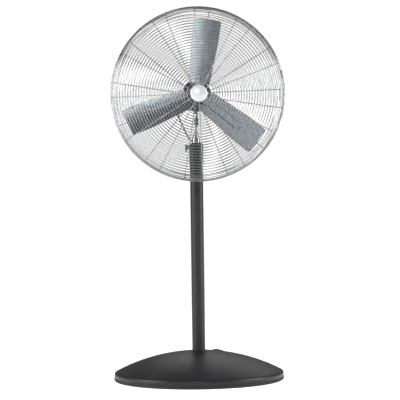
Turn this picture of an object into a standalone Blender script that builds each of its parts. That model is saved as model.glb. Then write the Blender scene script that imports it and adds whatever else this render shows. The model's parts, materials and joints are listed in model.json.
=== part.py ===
"""Industrial pedestal fan: weighted dome base, clamped telescopic mast, tilting head, wire guard, three paddle blades.

Metres, +Z up. The origin is on the floor under the pole. The fan blows towards -Y, and the pole stands on the Z axis.
"""

from math import atan2, cos, pi, radians, sin, sqrt, tau

import bmesh
import bpy
from mathutils import Matrix, Vector

# Driving dimensions, in metres and degrees.
GAP = 0.0003  # between pieces that touch

BASE_RADIUS = 0.412
DOME_CURVE_RADIUS = 0.88  # the dome is nearly a cap of a sphere
DOME_TOP = 0.1415
DOME_WALL = 0.0025
DOME_STEPS = 5
RIM_TOP = 0.031
RIM_ROUND = 0.012
EDGE_HEIGHT = 0.0165
EDGE_WIDTH = 0.020
PLATE_THICKNESS = 0.0016
BALLAST_RADIUS = 0.175
BALLAST_THICKNESS = 0.018

POLE_RADIUS = 0.03175
POLE_WALL = 0.002
POLE_TOP = 1.146
MAST_RADIUS = 0.01905
MAST_WALL = 0.0018
MAST_BOTTOM = 0.46
MAST_ROUND_TOP = 1.168
MAST_FLAT_BOTTOM = 1.226
MAST_TOP = 1.280
TONGUE_THICKNESS = 0.0052
TONGUE_WIDTH = 0.044
COLLAR_WALL = 0.0032
SCREW_HEIGHT = 1.131
SCREW_LENGTH = 0.025
SOCKET_TOP = 0.150

PIVOT_HEIGHT = 1.263
LOCK_DROP = 0.019
BOLT_RADIUS = 0.0040
BOLT_HOLE = 0.0046
SLOT_SPARE = 14.5  # degrees past each end of the tilt, for the lock bolt's own width
TILT_DOWN = 12
TILT_UP = 40
FAN_HEIGHT = 1.379

MOTOR_RADIUS = 0.072
MOTOR_WALL = 0.003
MOTOR_FRONT = -0.067
MOTOR_BACK = 0.060
BELL_DEPTH = 0.022
SHAFT_RADIUS = 0.008

GUARD_RADIUS = 0.4155
GUARD_SEAM = -0.186
GUARD_BACK = -0.092
GUARD_FRONT = -0.281
GUARD_SHOULDER = 0.372
SEAM_CLEARANCE = 0.0035
RIB_COUNT = 12
FRONT_RIB_TURN = -2.2
REAR_RIB_TURN = 9.1
WIRE_RADIUS = 0.0022
PLATE_HALF = 0.0025
PLATE_RADIUS = 0.052
FRONT_PLATE_RADIUS = 0.041
PLATE_HOLE = 0.025
SCREW_CIRCLE = 0.036
WIRE_SIDES = 4
RING_STEPS = 24

BLADE_COUNT = 3
BLADE_TURN = 8.6
BLADE_ROOT = 0.052
BLADE_TIP = 0.3625
TIP_SLANT = 0.0035
BLADE_CHORD = 0.144
BLADE_ROOT_CHORD = 0.114
BLADE_PITCH = 27
BLADE_THICKNESS = 0.0016
BLADE_PLANE = -0.176
HUB_RADIUS = 0.030

BOX_FRONT = MOTOR_BACK + BELL_DEPTH + 0.0066  # the switch box's face on the motor's back
BOX_SIZE = (0.078, 0.038, 0.084)
BOX_WALL = 0.003
KNOB_RISE = 0.014
LEAD_EXIT = (-BOX_SIZE[0] / 2, BOX_FRONT + 0.020, FAN_HEIGHT - 0.030)

CORD_RADIUS = 0.0035
GLAND_RADIUS = 0.165
GLAND_TURN = 58
GLAND_RISE = 11
GLAND_LENGTH = 0.026
RIM_TURN = 33
COIL_OUTER = 0.0460
COIL_INNER = 0.0314
COIL_HEIGHT = 0.0285
COIL_CENTRE = (0.050, 0.478)
TIE_WALL = 0.0012
PLUG_AT = (-0.066, 0.446)
PLUG_TURN = 178

COLLECTION = "pedestal_fan"
CUTTERS = "cutters"


# Scene, materials and helpers.


def clear_scene():
    for thing in list(bpy.data.objects):
        bpy.data.objects.remove(thing, do_unlink=True)
    for name in (COLLECTION, CUTTERS):
        bpy.context.scene.collection.children.link(bpy.data.collections.new(name))


def material(name, color, roughness, metallic):
    made = bpy.data.materials.new(name)
    made.use_nodes = True
    shader = made.node_tree.nodes["Principled BSDF"]
    shader.inputs["Base Color"].default_value = (*color, 1)
    shader.inputs["Roughness"].default_value = roughness
    shader.inputs["Metallic"].default_value = metallic
    return made


def make_materials():
    return {
        "black_paint": material("black_paint", (0.022, 0.022, 0.024), 0.42, 0.0),
        "motor_paint": material("motor_paint", (0.07, 0.075, 0.08), 0.45, 0.1),
        "chrome": material("chrome", (0.78, 0.78, 0.79), 0.14, 1.0),
        "aluminium": material("aluminium", (0.50, 0.53, 0.55), 0.38, 1.0),
        "steel": material("steel", (0.55, 0.55, 0.56), 0.32, 1.0),
        "iron": material("iron", (0.16, 0.16, 0.16), 0.7, 0.6),
        "copper": material("copper", (0.70, 0.34, 0.16), 0.35, 1.0),
        "rubber": material("rubber", (0.02, 0.02, 0.02), 0.7, 0.0),
        "plastic": material("plastic", (0.03, 0.03, 0.03), 0.5, 0.0),
        "brass": material("brass", (0.72, 0.55, 0.26), 0.3, 1.0),
    }


def place(thing, name, slot, collection=COLLECTION):
    """Names an object, puts it in its collection and gives it its material."""
    for holder in list(thing.users_collection):
        holder.objects.unlink(thing)
    bpy.data.collections[collection].objects.link(thing)
    thing.name = name
    thing.data.name = name
    if slot:
        thing.data.materials.clear()
        thing.data.materials.append(bpy.data.materials[slot])
    return thing


def from_bmesh(mesh, name, slot, collection=COLLECTION, smooth=True, recalc=True):
    if recalc:
        bmesh.ops.recalc_face_normals(mesh, faces=mesh.faces)
    data = bpy.data.meshes.new(name)
    mesh.to_mesh(data)
    mesh.free()
    made = bpy.data.objects.new(name, data)
    bpy.context.scene.collection.objects.link(made)
    if smooth:
        data.shade_smooth()
        data.set_sharp_from_angle(angle=radians(35))
    return place(made, name, slot, collection)


def rod(name, slot, radius, length, centre, axis="Z", sides=24, collection=COLLECTION):
    """A solid cylinder whose middle is at centre."""
    mesh = bmesh.new()
    bmesh.ops.create_cone(
        mesh, cap_ends=True, segments=sides, radius1=radius, radius2=radius, depth=length
    )
    turn = {"X": Matrix.Rotation(pi / 2, 3, "Y"), "Y": Matrix.Rotation(pi / 2, 3, "X"), "Z": Matrix.Identity(3)}
    bmesh.ops.rotate(mesh, verts=mesh.verts, cent=(0, 0, 0), matrix=turn[axis])
    made = from_bmesh(mesh, name, slot, collection)
    made.location = centre
    return made


def box(name, slot, size, centre, collection=COLLECTION, bevel=0.0):
    mesh = bmesh.new()
    bmesh.ops.create_cube(mesh, size=1)
    bmesh.ops.scale(mesh, vec=size, verts=mesh.verts)
    made = from_bmesh(mesh, name, slot, collection, smooth=False)
    made.location = centre
    if bevel:
        rounding = made.modifiers.new("edge", "BEVEL")
        rounding.width = bevel
        rounding.segments = 2
    return made


def turned(name, slot, profile, axis="Z", steps=24, centre=(0, 0, 0), collection=COLLECTION):
    """A closed solid of revolution from (radius, height) points that run down its outer side and back up."""
    mesh = bmesh.new()
    points = [mesh.verts.new((r, 0, z)) for r, z in profile]
    on_axis = profile[0][0] == 0 and profile[-1][0] == 0
    count = len(points)
    for i in range(count - 1 if on_axis else count):
        mesh.edges.new((points[i], points[(i + 1) % count]))
    data = bpy.data.meshes.new(name)
    mesh.to_mesh(data)
    mesh.free()
    made = bpy.data.objects.new(name, data)
    bpy.context.scene.collection.objects.link(made)
    spin = made.modifiers.new("turn", "SCREW")
    spin.axis = "Z"
    spin.steps = steps
    spin.render_steps = steps
    spin.use_merge_vertices = True
    spin.merge_threshold = 0.00002
    spin.use_smooth_shade = True
    made.location = centre
    if axis == "Y":  # the profile's height runs towards +Y
        made.rotation_euler = (-pi / 2, 0, 0)
    if axis == "X":
        made.rotation_euler = (0, pi / 2, 0)
    return place(made, name, slot, collection)


def ring_profile(inner, outer, low, high):
    return [(outer, high), (outer, low), (inner, low), (inner, high)]


def baked(thing):
    """The object as a plain mesh object in world space, with its modifiers applied."""
    bpy.context.view_layer.update()
    graph = bpy.context.evaluated_depsgraph_get()
    data = bpy.data.meshes.new_from_object(thing.evaluated_get(graph), depsgraph=graph)
    mesh = bmesh.new()
    mesh.from_mesh(data)
    mesh.transform(thing.matrix_world)
    fresh = not any(modifier.type == "BOOLEAN" for modifier in thing.modifiers)
    if fresh:  # a curve's caps are loose, and so are the points where a turned profile meets its axis
        bmesh.ops.remove_doubles(mesh, verts=mesh.verts, dist=0.000004)
    bpy.data.meshes.remove(data)
    name = thing.name
    slot = thing.data.materials[0].name if thing.data.materials else None
    collection = thing.users_collection[0].name
    bpy.data.objects.remove(thing, do_unlink=True)
    return from_bmesh(mesh, name, slot, collection, recalc=fresh)


def combine(thing, others, operation, solver="EXACT"):
    """Joins or cuts thing by others, in order, and bakes the result."""
    for other in others:
        cut = thing.modifiers.new(other.name, "BOOLEAN")
        cut.operation = operation
        cut.solver = solver
        cut.object = other
    made = baked(thing)
    for other in others:
        bpy.data.objects.remove(other, do_unlink=True)
    return made


def cutter(thing):
    thing.hide_render = True
    thing.display_type = "WIRE"
    return place(thing, thing.name, None, CUTTERS)


def wire(name, slot, points, radius, resolution=0, collection=COLLECTION):
    """A round wire along a list of points, as a POLY curve with filled caps."""
    curve = bpy.data.curves.new(name, "CURVE")
    curve.dimensions = "3D"
    curve.bevel_depth = radius
    curve.bevel_resolution = resolution
    curve.use_fill_caps = True
    spline = curve.splines.new("POLY")
    spline.points.add(len(points) - 1)
    for vertex, place_at in zip(spline.points, points):
        vertex.co = (*place_at, 1)
    made = bpy.data.objects.new(name, curve)
    bpy.context.scene.collection.objects.link(made)
    return place(made, name, slot, collection)


def plate(name, slot, outline, thickness, collection=COLLECTION):
    """A flat outline in its own XY plane, extruded to thickness about that plane."""
    curve = bpy.data.curves.new(name, "CURVE")
    curve.dimensions = "2D"
    curve.fill_mode = "BOTH"
    curve.extrude = thickness / 2
    spline = curve.splines.new("POLY")
    spline.points.add(len(outline) - 1)
    for vertex, (x, y) in zip(spline.points, outline):
        vertex.co = (x, y, 0, 1)
    spline.use_cyclic_u = True
    made = bpy.data.objects.new(name, curve)
    bpy.context.scene.collection.objects.link(made)
    return place(made, name, slot, collection)


def arc(centre, radius, start, end, steps):
    """Points on a circle from start to end, in degrees."""
    return [
        (
            centre[0] + radius * cos(radians(start + (end - start) * i / steps)),
            centre[1] + radius * sin(radians(start + (end - start) * i / steps)),
        )
        for i in range(steps + 1)
    ]


def smooth_route(stops, count):
    """Evenly spaced points on a Catmull-Rom curve through the stops."""
    ends = [Vector(p) for p in stops]
    ends = [2 * ends[0] - ends[1], *ends, 2 * ends[-1] - ends[-2]]
    fine = []
    for a, b, c, d in zip(ends, ends[1:], ends[2:], ends[3:]):
        for i in range(24):
            t = i / 24
            fine.append(
                0.5 * (2 * b + (c - a) * t + (2 * a - 5 * b + 4 * c - d) * t * t + (3 * b - a - 3 * c + d) * t**3)
            )
    fine.append(ends[-2])
    lengths = [0.0]
    for a, b in zip(fine, fine[1:]):
        lengths.append(lengths[-1] + (b - a).length)
    even = []
    at = 0
    for i in range(count):
        goal = lengths[-1] * i / (count - 1)
        while at < len(lengths) - 2 and lengths[at + 1] < goal:
            at += 1
        share = (goal - lengths[at]) / max(lengths[at + 1] - lengths[at], 1e-9)
        even.append(fine[at].lerp(fine[at + 1], min(share, 1)))
    return even


def around_fan(radius, turn, y):
    """A point by its radius and clockwise angle from the top, seen from the front."""
    return Vector((radius * sin(radians(turn)), y, FAN_HEIGHT + radius * cos(radians(turn))))


# Base.


def dome_height(radius):
    """Height of the dome's outer face at a radius."""
    return DOME_TOP - DOME_CURVE_RADIUS + sqrt(DOME_CURVE_RADIUS**2 - radius**2)


def dome_profile():
    hole = POLE_RADIUS + 0.0006
    shoulder = BASE_RADIUS - RIM_ROUND
    top = [(hole + (shoulder - hole) * i / DOME_STEPS, 0) for i in range(DOME_STEPS + 1)]
    outer = [(r, dome_height(r)) for r, _ in top]
    corner = (shoulder - 0.001, RIM_TOP)
    outer += arc(corner, BASE_RADIUS - corner[0], 52, 0, 2)
    outer.append((BASE_RADIUS, EDGE_HEIGHT + GAP))
    inner = [(r - 0.3 * DOME_WALL, z - DOME_WALL) for r, z in outer[1 : DOME_STEPS + 1]]
    inner = [(hole, outer[0][1] - DOME_WALL), *inner]
    inner += [(BASE_RADIUS - DOME_WALL, RIM_TOP), (BASE_RADIUS - DOME_WALL, EDGE_HEIGHT + GAP)]
    return outer + inner[::-1]


def make_base():
    turned(
        "rubber_edge_ring",
        "rubber",
        [
            (BASE_RADIUS + 0.001, EDGE_HEIGHT),
            (BASE_RADIUS + 0.001, 0.0060),
            (BASE_RADIUS - 0.001, 0.0020),
            (BASE_RADIUS - 0.005, 0),
            (BASE_RADIUS - EDGE_WIDTH, 0),
            (BASE_RADIUS - EDGE_WIDTH, EDGE_HEIGHT),
        ],
    )
    turned("base_dome", "black_paint", dome_profile(), steps=48)
    plate_low = EDGE_HEIGHT + GAP
    plate_high = plate_low + PLATE_THICKNESS
    rod(
        "base_plate",
        "steel",
        BASE_RADIUS - DOME_WALL - 0.002,
        PLATE_THICKNESS,
        (0, 0, (plate_low + plate_high) / 2),
        sides=48,
    )
    ballast_low = plate_high + GAP
    ballast_high = ballast_low + BALLAST_THICKNESS
    turned("ballast_disc", "iron", ring_profile(0.040, BALLAST_RADIUS, ballast_low, ballast_high))
    foot_low = ballast_high + GAP
    foot_high = foot_low + 0.006
    sleeve = POLE_RADIUS + GAP
    socket = turned(
        "pole_socket",
        "steel",
        [
            (sleeve + 0.0045, SOCKET_TOP - 0.022),
            (sleeve + 0.0045, foot_high),
            (0.078, foot_high),
            (0.078, foot_low),
            (0.024, foot_low),
            (0.024, foot_high - 0.001),
            (sleeve, foot_high - 0.001),
            (sleeve, SOCKET_TOP - 0.022),
        ],
        steps=24,
    )
    holes = []
    for i in range(3):
        turn = tau * i / 3 + pi / 6
        x, y = 0.060 * cos(turn), 0.060 * sin(turn)
        holes.append(cutter(rod(f"foot_hole_{i}", None, 0.0044, 0.03, (x, y, foot_low), sides=12)))
    combine(socket, holes, "DIFFERENCE")
    for i in range(3):
        turn = tau * i / 3 + pi / 6
        make_bolt(
            f"socket_bolt_{i + 1}",
            (0.060 * cos(turn), 0.060 * sin(turn), foot_high + GAP),
            (0, 0, -1),
            0.004,
            0.006,
            0.0065,
            0.0053,
        )
    turned(
        "outer_pole",
        "black_paint",
        ring_profile(POLE_RADIUS - POLE_WALL, POLE_RADIUS, foot_high - 0.001 + GAP, POLE_TOP),
        steps=24,
    )


def make_bolt(name, seat, direction, radius, shank, head, head_height, slot="steel"):
    """A hex bolt: its head stands on seat, and its shank runs from there along direction."""
    along = Vector(direction).normalized()
    mesh = bmesh.new()
    bmesh.ops.create_cone(mesh, cap_ends=True, segments=6, radius1=head, radius2=head, depth=head_height)
    bmesh.ops.translate(mesh, verts=mesh.verts, vec=(0, 0, -head_height / 2))
    shaft = bmesh.new()
    bmesh.ops.create_cone(shaft, cap_ends=True, segments=10, radius1=radius, radius2=radius, depth=shank + 0.001)
    bmesh.ops.translate(shaft, verts=shaft.verts, vec=(0, 0, (shank - 0.001) / 2))
    first = from_bmesh(mesh, name, slot)
    second = from_bmesh(shaft, name + "_shank", None, CUTTERS)
    made = combine(first, [second], "UNION")
    made.matrix_world = Matrix.Translation(seat) @ along.to_track_quat("Z", "Y").to_matrix().to_4x4()
    return made


# Pole fittings and mast.


def make_pole_fittings():
    inner = POLE_RADIUS - POLE_WALL - GAP
    bore = MAST_RADIUS + 0.0006
    turned(
        "pole_top_bush",
        "plastic",
        [
            (POLE_RADIUS - 0.001, POLE_TOP + GAP + 0.004),
            (POLE_RADIUS - 0.001, POLE_TOP + GAP),
            (inner, POLE_TOP + GAP),
            (inner, POLE_TOP - 0.006),
            (bore, POLE_TOP - 0.006),
            (bore, POLE_TOP + GAP + 0.004),
        ],
        steps=24,
    )
    collar = turned(
        "clamp_collar",
        "black_paint",
        ring_profile(POLE_RADIUS + GAP, POLE_RADIUS + COLLAR_WALL, SCREW_HEIGHT - 0.080, SCREW_HEIGHT + 0.012),
        steps=24,
    )
    boss = rod("collar_boss", None, 0.010, 0.0115, (-POLE_RADIUS - 0.0066, 0, SCREW_HEIGHT), axis="X", sides=16)
    collar = combine(collar, [boss], "UNION")
    # The screw passes the boss, the collar and the pole's wall, and presses on the mast inside.
    screw_hole = rod("screw_hole", None, 0.0054, 0.04, (-0.045, 0, SCREW_HEIGHT), axis="X", sides=16)
    combine(collar, [cutter(screw_hole)], "DIFFERENCE")
    pole = bpy.data.objects["outer_pole"]
    screw_hole = rod("screw_hole", None, 0.0054, 0.02, (-POLE_RADIUS, 0, SCREW_HEIGHT), axis="X", sides=16)
    combine(pole, [cutter(screw_hole)], "DIFFERENCE")
    middle = -MAST_RADIUS - 0.0008 - SCREW_LENGTH / 2
    rod("clamp_screw", "steel", 0.0048, SCREW_LENGTH, (middle, 0, SCREW_HEIGHT), axis="X", sides=14)
    make_clamp_knob()


def make_clamp_knob():
    """A three-lobed grip on the clamp screw's outer end."""
    outline = []
    for i in range(24):
        turn = tau * i / 24
        reach = 0.0165 + 0.0035 * cos(3 * turn)
        outline.append((reach * cos(turn), reach * sin(turn)))
    grip = plate("clamp_knob", "plastic", outline, 0.008)
    grip.rotation_euler = (0, pi / 2, 0)
    grip.location = (-MAST_RADIUS - 0.0008 - SCREW_LENGTH - GAP - 0.004, 0, SCREW_HEIGHT)
    baked(grip)


def mast_section(height):
    """Half-width along X and half-depth along Y of the mast at a height."""
    share = min(max((height - MAST_ROUND_TOP) / (MAST_FLAT_BOTTOM - MAST_ROUND_TOP), 0), 1)
    share = share * share * (3 - 2 * share)
    across = MAST_RADIUS + (TONGUE_THICKNESS / 2 - MAST_RADIUS) * share
    deep = MAST_RADIUS + (TONGUE_WIDTH / 2 - MAST_RADIUS) * share
    return across, deep


def make_mast():
    """The inner tube: round below, and pressed flat at the top where the tilt bolts pass."""
    mesh = bmesh.new()
    sides = 24
    heights = [MAST_BOTTOM, MAST_ROUND_TOP]
    heights += [MAST_ROUND_TOP + (MAST_FLAT_BOTTOM - MAST_ROUND_TOP) * i / 4 for i in range(1, 5)]
    heights += [MAST_TOP - 0.016, MAST_TOP - 0.006, MAST_TOP]
    loops = []
    for height in heights:
        across, deep = mast_section(height)
        if height > MAST_TOP - 0.01:
            deep -= 0.003 + 0.8 * (height - MAST_TOP + 0.006)
        flat = across < MAST_RADIUS * 0.5
        loop = []
        for i in range(sides):
            turn = tau * (i + 0.5) / sides
            power = 0.35 if flat else 1
            x = across * abs(cos(turn)) ** power * (1 if cos(turn) > 0 else -1)
            loop.append(mesh.verts.new((x, deep * sin(turn), height)))
        loops.append(loop)
    for low, high in zip(loops, loops[1:]):
        for i in range(sides):
            j = (i + 1) % sides
            mesh.faces.new((low[i], low[j], high[j], high[i]))
    mesh.faces.new(loops[0][::-1])
    mesh.faces.new(loops[-1])
    tube = from_bmesh(mesh, "mast_tube", "chrome")
    bore = rod(
        "mast_bore",
        None,
        MAST_RADIUS - MAST_WALL,
        MAST_ROUND_TOP - MAST_BOTTOM + 0.01,
        (0, 0, (MAST_ROUND_TOP + MAST_BOTTOM) / 2 - 0.008),
        sides=24,
    )
    cutters = [cutter(bore)]
    for drop in (0, LOCK_DROP):
        hole = rod(f"bolt_hole_{drop}", None, BOLT_HOLE, 0.03, (0, 0, PIVOT_HEIGHT - drop), axis="X", sides=16)
        cutters.append(cutter(hole))
    entry = rod("lead_hole", None, 0.0062, 0.05, (0, 0, 0), axis="Z", sides=14)
    entry.matrix_world = lead_frame() @ Matrix.Translation((0, 0, 0.012))
    cutters.append(cutter(entry))
    combine(tube, cutters, "DIFFERENCE")
    turned(
        "mast_glide_bush",
        "plastic",
        [
            (POLE_RADIUS - POLE_WALL - 0.0005, MAST_BOTTOM - GAP),
            (POLE_RADIUS - POLE_WALL - 0.0005, MAST_BOTTOM - 0.02),
            (MAST_RADIUS - 0.004, MAST_BOTTOM - 0.02),
            (MAST_RADIUS - 0.004, MAST_BOTTOM - GAP),
        ],
        steps=24,
    )
    grommet = turned(
        "lead_grommet",
        "rubber",
        [
            (0.0058, 0.0060),
            (0.0082, 0.0040),
            (0.0082, 0.0005),
            (0.0058, 0.0005),
            (0.0058, -0.0025),
            (CORD_RADIUS + GAP, -0.0025),
            (CORD_RADIUS + GAP, 0.0060),
        ],
        steps=16,
    )
    grommet.matrix_world = lead_frame()


def lead_frame():
    """Where the motor lead enters the mast: +Z points out of the tube, to the back and up."""
    turn = radians(118)
    out = Vector((cos(turn), sin(turn), 0))
    foot = out * (MAST_RADIUS + GAP) + Vector((0, 0, MAST_ROUND_TOP - 0.0065))
    return Matrix.Translation(foot) @ out.to_track_quat("Z", "X").to_matrix().to_4x4()


# Head: bracket, motor and guard.


def make_bracket():
    """One steel ear beside the mast's tongue, folded to a foot that the motor sits on."""
    ear_inner = TONGUE_THICKNESS / 2 + 0.0006
    ear = 0.004
    foot_high = FAN_HEIGHT - MOTOR_RADIUS - GAP
    foot_low = foot_high - 0.004
    outline = [(-0.030, foot_low - 0.004), (-0.030, foot_low + 0.001), (0.030, foot_low + 0.001)]
    outline += [(0.030, foot_low - 0.004)]
    outline += arc((0, PIVOT_HEIGHT - 0.001), 0.0305, 0, -180, 14)
    ear_plate = plate("tilt_bracket", "motor_paint", outline, ear)
    ear_plate.matrix_world = Matrix(((0, 0, 1, ear_inner + ear / 2), (1, 0, 0, 0), (0, 1, 0, 0), (0, 0, 0, 1)))
    ear_plate = baked(ear_plate)
    foot = box("foot", None, (0.023, 0.060, 0.004), (ear_inner - 0.0055 + 0.004, 0, (foot_high + foot_low) / 2))
    ear_plate = combine(ear_plate, [foot], "UNION")
    cutters = []
    pivot = rod("pivot_hole", None, BOLT_HOLE, 0.05, (0.01, 0, PIVOT_HEIGHT), axis="X", sides=16)
    cutters.append(cutter(pivot))
    # The lock slot is an arc about the pivot, as long as the head's tilt.
    slot = []
    start = -90 - TILT_DOWN - SLOT_SPARE
    end = -90 + TILT_UP + SLOT_SPARE
    slot += arc((0, 0), LOCK_DROP + BOLT_HOLE, start, end, 12)
    slot += arc((0, 0), LOCK_DROP - BOLT_HOLE, end, start, 12)
    slot_cut = plate("lock_slot", None, slot, 0.03, CUTTERS)
    slot_cut.matrix_world = Matrix(((0, 0, 1, 0.008), (1, 0, 0, 0), (0, 1, 0, PIVOT_HEIGHT), (0, 0, 0, 1)))
    cutters.append(cutter(baked(slot_cut)))
    combine(ear_plate, cutters, "DIFFERENCE")
    outer = ear_inner + ear
    for name, drop in (("tilt_bolt", 0), ("lock_bolt", LOCK_DROP)):
        make_bolt(
            name,
            (outer + 0.0006, 0, PIVOT_HEIGHT - drop),
            (-1, 0, 0),
            BOLT_RADIUS,
            outer + 0.0006 + TONGUE_THICKNESS / 2 + 0.0075,
            0.0075,
            0.0052,
        )
    # A six-sided bore touches the round shank at its flats, so its corners lie further out.
    nut_bore = (BOLT_RADIUS + GAP) / cos(pi / 6)
    for name, drop in (("tilt_nut", 0), ("lock_nut", LOCK_DROP)):
        nut = turned(name, "steel", ring_profile(nut_bore, 0.0075, 0, 0.0055), axis="X", steps=6)
        nut.location = (-TONGUE_THICKNESS / 2 - 0.0006 - 0.0055, 0, PIVOT_HEIGHT - drop)


def make_motor():
    centre = (0, 0, FAN_HEIGHT)
    front, back = MOTOR_FRONT, MOTOR_BACK
    inner = MOTOR_RADIUS - MOTOR_WALL
    turned(
        "motor_shell", "motor_paint", ring_profile(inner, MOTOR_RADIUS, front, back), axis="Y", centre=centre
    )
    seat = 0.0135
    bell = [
        (MOTOR_RADIUS, 0),
        (MOTOR_RADIUS - 0.010, -BELL_DEPTH + 0.004),
        (MOTOR_RADIUS - 0.022, -BELL_DEPTH),
        (0.024, -BELL_DEPTH),
        (0.022, -BELL_DEPTH - 0.006),
        (SHAFT_RADIUS + 0.0010, -BELL_DEPTH - 0.006),
        (SHAFT_RADIUS + 0.0010, -BELL_DEPTH - 0.002),
        (seat, -BELL_DEPTH - 0.002),
        (seat, -BELL_DEPTH + 0.011),
        (0.022, -BELL_DEPTH + 0.011),
        (0.048, -BELL_DEPTH + 0.004),
        (MOTOR_RADIUS - 0.006, 0),
    ]
    # Screwed about Z, a bell's mouth is up, so each is turned to face into the shell.
    front_bell = turned("motor_front_bell", "motor_paint", bell, steps=24)
    front_bell.rotation_euler = (-pi / 2, 0, 0)
    front_bell.location = (0, front - GAP, FAN_HEIGHT)
    rear_bell = turned("motor_rear_bell", "motor_paint", bell, steps=24)
    rear_bell.rotation_euler = (pi / 2, 0, 0)
    rear_bell.location = (0, back + GAP, FAN_HEIGHT)
    bearing = ring_profile(SHAFT_RADIUS + GAP, seat - GAP, -0.0045, 0.0045)
    reach = BELL_DEPTH - 0.0035
    turned("front_bearing", "steel", bearing, axis="Y", steps=24, centre=(0, front - reach, FAN_HEIGHT))
    turned("rear_bearing", "steel", bearing, axis="Y", steps=24, centre=(0, back + reach, FAN_HEIGHT))
    turned(
        "stator_winding",
        "copper",
        [
            (inner - GAP, 0.040),
            (inner - GAP, -0.046),
            (0.052, -0.056),
            (0.041, -0.056),
            (0.041, 0.050),
            (0.052, 0.050),
        ],
        axis="Y",
        centre=centre,
    )
    make_switch_box()


def make_switch_box():
    """A housing on the motor's back with the run capacitor and the rotary speed switch."""
    wide, deep, high = BOX_SIZE
    back = BOX_FRONT
    shell = box("switch_box", "motor_paint", BOX_SIZE, (0, back + deep / 2, FAN_HEIGHT), bevel=0.005)
    shell = baked(shell)
    space = (wide - 2 * BOX_WALL, deep + 0.002, high - 2 * BOX_WALL)
    hollow = box("hollow", None, space, (0, back + space[1] / 2 - 0.0045, FAN_HEIGHT))
    lead_hole = rod("lead_exit", None, 0.0062, 0.02, LEAD_EXIT, axis="X", sides=12)
    stem = (0, back + deep, FAN_HEIGHT + KNOB_RISE)
    stem_hole = rod("stem_hole", None, 0.0045, 0.02, stem, axis="Y", sides=12)
    combine(shell, [cutter(hollow), cutter(lead_hole), cutter(stem_hole)], "DIFFERENCE")
    rod("run_capacitor", "aluminium", 0.0140, 0.056, (0, back + 0.0165, FAN_HEIGHT - 0.019), axis="X", sides=20)
    knob = turned(
        "speed_knob",
        "plastic",
        [
            (0, 0.015),
            (0.0125, 0.015),
            (0.0150, 0.012),
            (0.0165, 0.0005),
            (0.0040, 0.0005),
            (0.0040, -0.010),
            (0, -0.010),
        ],
        axis="Y",
        steps=24,
        centre=(0, back + deep + 0.0005, FAN_HEIGHT + KNOB_RISE),
    )
    pointer_at = (0, back + deep + 0.0160, FAN_HEIGHT + KNOB_RISE + 0.006)
    pointer = box("pointer", None, (0.003, 0.004, 0.013), pointer_at)
    combine(baked(knob), [pointer], "UNION")


def lead_route():
    """The motor lead leaves the switch box's left side, hangs beside the motor and curves into the mast's back."""
    x, y, z = LEAD_EXIT
    entry = lead_frame() @ Vector((0, 0, 0.0064))
    before = lead_frame() @ Vector((0, 0, 0.0200))
    stops = [
        (x - 0.0165, y, z),
        (x - 0.0310, y - 0.0009, z - 0.0029),
        (x - 0.0428, y - 0.0028, z - 0.0122),
        (x - 0.0484, y - 0.0052, z - 0.0262),
        (x - 0.0460, y - 0.0088, z - 0.0480),
        (-0.0765, 0.0960, PIVOT_HEIGHT + 0.017),
        (-0.0680, 0.0900, PIVOT_HEIGHT - 0.008),
        (-0.0510, 0.0750, PIVOT_HEIGHT - 0.046),
        tuple(before + Vector((-0.0130, 0.0200, 0.0140))),
        tuple(before),
        tuple(entry),
    ]
    return smooth_route(stops, 30)


def make_lead():
    gland = turned(
        "lead_gland",
        "plastic",
        [
            (0.0058, 0.004),
            (0.0058, -0.0003),
            (0.0088, -0.0003),
            (0.0088, -0.008),
            (0.0056, -0.016),
            (CORD_RADIUS + GAP, -0.016),
            (CORD_RADIUS + GAP, 0.004),
        ],
        axis="X",
        steps=16,
        centre=LEAD_EXIT,
    )
    baked(gland)
    wire("motor_lead", "rubber", lead_route(), CORD_RADIUS, resolution=2)


def guard_shape(front):
    """(radius, y) along one half of the guard, from its centre plate to its seam."""
    if front:
        seam = GUARD_SEAM - SEAM_CLEARANCE
        face = GUARD_FRONT
    else:
        seam = GUARD_SEAM + SEAM_CLEARANCE
        face = GUARD_BACK
    depth = face - seam
    inner = (FRONT_PLATE_RADIUS if front else PLATE_RADIUS) - 0.006
    shape = [(inner, face), (0.150, face), (0.270, face - 0.05 * depth)]
    round_radius = GUARD_RADIUS - WIRE_RADIUS - GUARD_SHOULDER
    for i in range(2):
        turn = radians(24 + 40 * i)
        shape.append((GUARD_SHOULDER + round_radius * sin(turn), seam + depth * (0.34 + 0.56 * cos(turn))))
    shape.append((GUARD_RADIUS - WIRE_RADIUS, seam))
    return shape


def ring_wire(name, radius, y, thickness=WIRE_RADIUS):
    """A closed wire ring about the fan's axis."""
    sides = WIRE_SIDES
    turns = [0.5 + tau * i / sides for i in range(sides)]
    profile = [(radius + thickness * cos(t), -thickness * sin(t)) for t in turns]
    made = turned(name, None, profile, axis="Y", steps=RING_STEPS, centre=(0, y, FAN_HEIGHT), collection=CUTTERS)
    return baked(made)


def guard_holes():
    """Cutters for the three screws that hold the rear guard's plate to the motor."""
    holes = []
    for i in range(3):
        centre = around_fan(SCREW_CIRCLE, 67 + 120 * i, GUARD_BACK)
        holes.append(cutter(rod(f"guard_hole_{i}", None, 0.0029, 0.05, centre, axis="Y", sides=10)))
    return holes


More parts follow.
